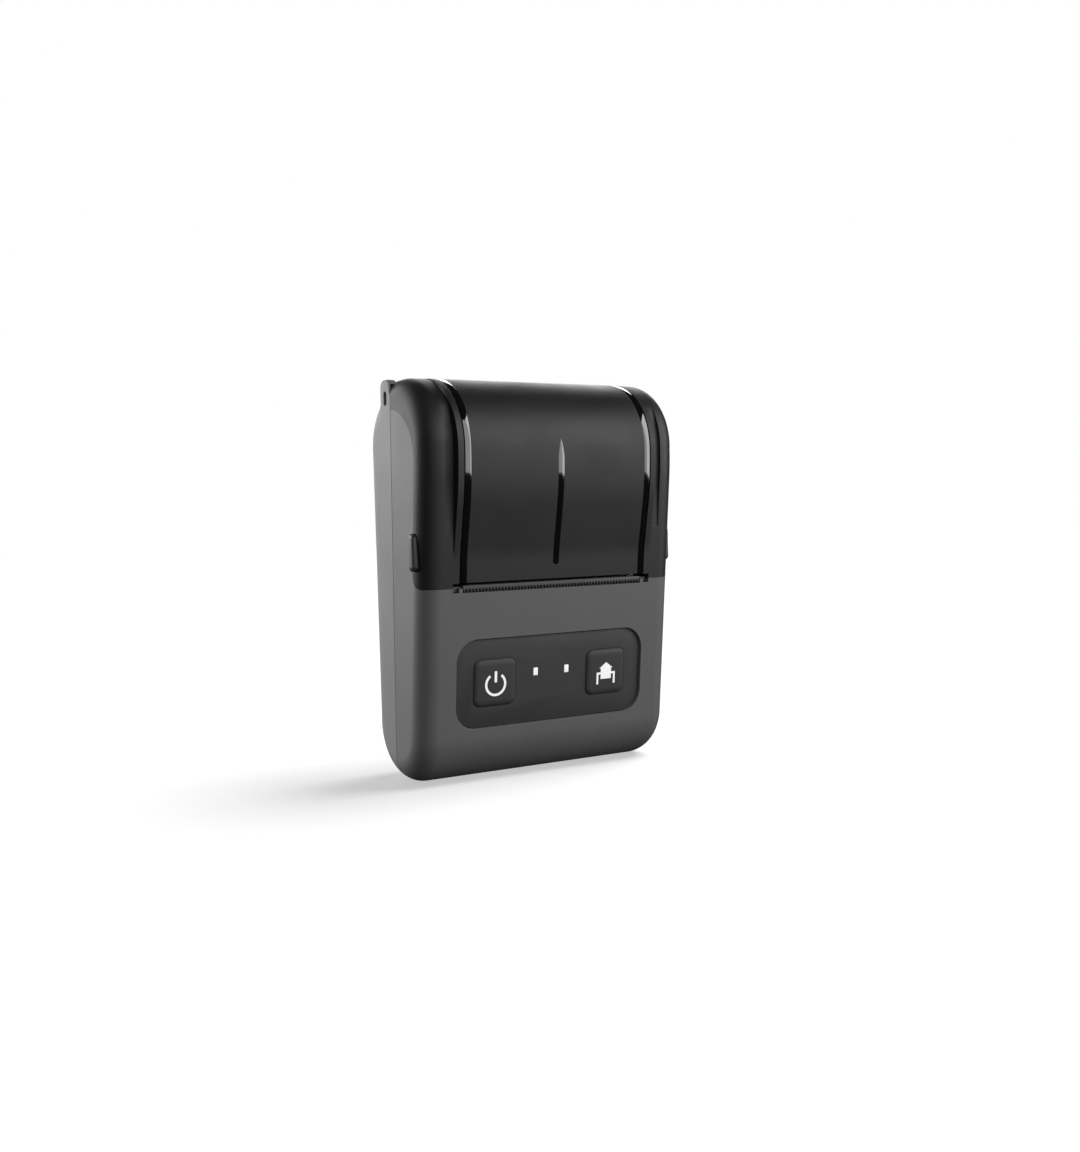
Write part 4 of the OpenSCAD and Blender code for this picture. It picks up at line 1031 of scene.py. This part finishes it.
for name, obj in shells.items():
    standIn(obj, name, shellBody[name])
dressed = {
    "key_panel": (keyPanel(), "base"), "power_key": (keyCap(-1, "powerKey"), "power_key"),
    "feed_key": (keyCap(1, "feedKey"), "feed_key"), "light_guides": (lightGuides(), "base"),
    "tear_bar": (tearBar(), "base"), "button_left": (sideButton(-1, "buttonLeft"), "button_left"),
    "button_right": (sideButton(1, "buttonRight"), "button_right"),
    "button_spring_left": (buttonSpring(-1, "buttonSpringLeft", finishes["steel"]), "base"),
    "button_spring_right": (buttonSpring(1, "buttonSpringRight", finishes["steel"]), "base"),
    "head_springs": (headSprings(finishes["steel"]), "base"),
    "battery_door": (batteryDoor(finishes["rearGrey"]), "door"),
}
for name, (obj, rider) in dressed.items():
    standIn(obj, name, rider)
extras = (
    (powerSign(), "power_key", "printWhite", "lamp_clear"),
    (feedSign(), "feed_key", "printWhite", "lamp_clear"),
    # the teeth in the cover's black: painted shade of the serrations
    (tearTeeth(finishes["coverBlack"]), "base", "coverBlack", "cover_black"),
)
for obj, rider, finish, slotName in extras:
    paint(obj, finish)
    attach(obj, rider)
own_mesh(dressed["head_springs"][0])
for k, word in ((-1, "left"), (1, "right")):
    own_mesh(dressed["button_spring_" + word][0])
print("pieces made:", {n: len(o.data.polygons) for n, (o, r) in dressed.items()})

# studio: azimuths run to the left from the front, radiance is what the camera would see of a light
wallBox = {"distance": 0.7, "height": 0.375, "aimZ": 0.375}
lowSide = {"azimuth": 144, "height": 0.3, "size": (0.7, 0.55), "aimZ": 0.08}
studio = {
    "floorSize": 8.0, "floorGlow": 0.5, "floorSun": 2.6, "sunAngle": 50, "sunAzimuth": -84,
    "sunElevation": 56, "fill": 0.08, "mirrorFill": 0.012,
    "lights": {
        "frontBox": {**wallBox, "azimuth": -9, "size": (0.66, 0.74), "radiance": 1.6},
        "rightBox": {**wallBox, "azimuth": -55, "size": (0.52, 0.74), "radiance": 3.0},
        "sideLight": {**lowSide, "distance": 0.75, "radiance": 10.2, "gloss": False},
        "sideGloss": {**lowSide, "distance": 0.7, "radiance": 2.9, "diffuse": False},
        "leftBox": {**wallBox, "azimuth": 30, "size": (0.3, 0.74), "radiance": 0.6},
        "backLight": {"azimuth": -145, "distance": 0.8, "height": 0.55, "size": (0.6, 0.4), "radiance": 4.0,
                      "aimZ": 0.09},
    },
}
# fitted to the photograph, in metres
photoCamera = {
    "sensor": 36, "lens": 39.06, "at": (-0.190820, -0.325544, 0.074018),
    "right": (0.85635, -0.51563, -0.02801), "up": (0.04592, 0.02202, 0.99870),
    "ahead": (0.51434, 0.85653, -0.04253),
}


def makeFloor():
    half = studio["floorSize"] / 2
    mesh = bpy.data.meshes.new("studioFloor")
    corners = [(-half, -half, 0), (half, -half, 0), (half, half, 0), (-half, half, 0)]
    mesh.from_pydata(corners, [], [(0, 1, 2, 3)])
    obj = newObject("studioFloor", mesh)
    mat, _, shader = newMaterial("paleFloor")
    for key, value in (("Base Color", (0.8, 0.8, 0.8, 1)), ("Roughness", 1.0), ("Specular IOR Level", 0.0),
                       ("Emission Color", (1, 1, 1, 1)), ("Emission Strength", studio["floorGlow"])):
        shader.inputs[key].default_value = value
    mesh.materials.append(mat)
    obj.visible_glossy = False
    obj.visible_diffuse = False
    return obj


def towards(azimuth, elevation):
    return Vector((-sind(azimuth) * cosd(elevation), -cosd(azimuth) * cosd(elevation), sind(elevation)))


def addLight(name, data, at, aim, receivers, state):
    obj = newObject(name, data)
    obj.location = at
    obj.rotation_euler = (Vector(aim) - Vector(at)).to_track_quat("-Z", "Y").to_euler()
    obj.visible_camera = False
    linked = bpy.data.collections.new(name + "Receivers")
    linked.objects.link(receivers)
    obj.light_linking.receiver_collection = linked
    linked.collection_objects[0].light_linking.link_state = state
    return obj


floor = makeFloor()
for name, g in studio["lights"].items():
    data = bpy.data.lights.new(name, "AREA")
    data.shape, data.size, data.size_y = "RECTANGLE", g["size"][0], g["size"][1]
    data.energy = g["radiance"] * math.pi * g["size"][0] * g["size"][1]
    at = towards(g["azimuth"], 0) * g["distance"] + Vector((0, 0, g["height"]))
    lamp = addLight(name, data, at, (0, 0, g["aimZ"]), floor, "EXCLUDE")
    lamp.visible_glossy, lamp.visible_diffuse = g.get("gloss", True), g.get("diffuse", True)
sun = bpy.data.lights.new("floorSun", "SUN")
sun.energy, sun.angle = studio["floorSun"], math.radians(studio["sunAngle"])
addLight("floorSun", sun, towards(studio["sunAzimuth"], studio["sunElevation"]), (0, 0, 0), floor, "INCLUDE")

world = bpy.data.worlds.new("studio")
bpy.context.scene.world = world
world.use_nodes = True
tree = world.node_tree
tree.nodes["Background"].inputs["Color"].default_value = (studio["fill"],) * 3 + (1,)
white = node(tree, "ShaderNodeBackground", Color=(1, 1, 1, 1), Strength=1.0)
mirrored = node(tree, "ShaderNodeBackground", Color=(studio["mirrorFill"],) * 3 + (1,), Strength=1.0)
path = node(tree, "ShaderNodeLightPath")
mixer, glossMixer = node(tree, "ShaderNodeMixShader"), node(tree, "ShaderNodeMixShader")
wire(tree, (path, "Is Glossy Ray", glossMixer, 0), (tree.nodes["Background"], 0, glossMixer, 1),
     (mirrored, 0, glossMixer, 2), (path, "Is Camera Ray", mixer, 0), (glossMixer, 0, mixer, 1),
     (white, 0, mixer, 2), (mixer, 0, tree.nodes["World Output"], "Surface"))

cam = bpy.data.cameras.new("photoCamera")
cam.sensor_width, cam.lens, cam.clip_start = photoCamera["sensor"], photoCamera["lens"], 0.01
camObj = newObject("photoCamera", cam)
turn = Matrix((photoCamera["right"], photoCamera["up"], -Vector(photoCamera["ahead"]))).transposed()
camObj.matrix_world = Matrix.Translation(photoCamera["at"]) @ turn.to_4x4()
bpy.context.scene.camera = camObj
bpy.context.scene.view_settings.view_transform = "Standard"
print("studio made")
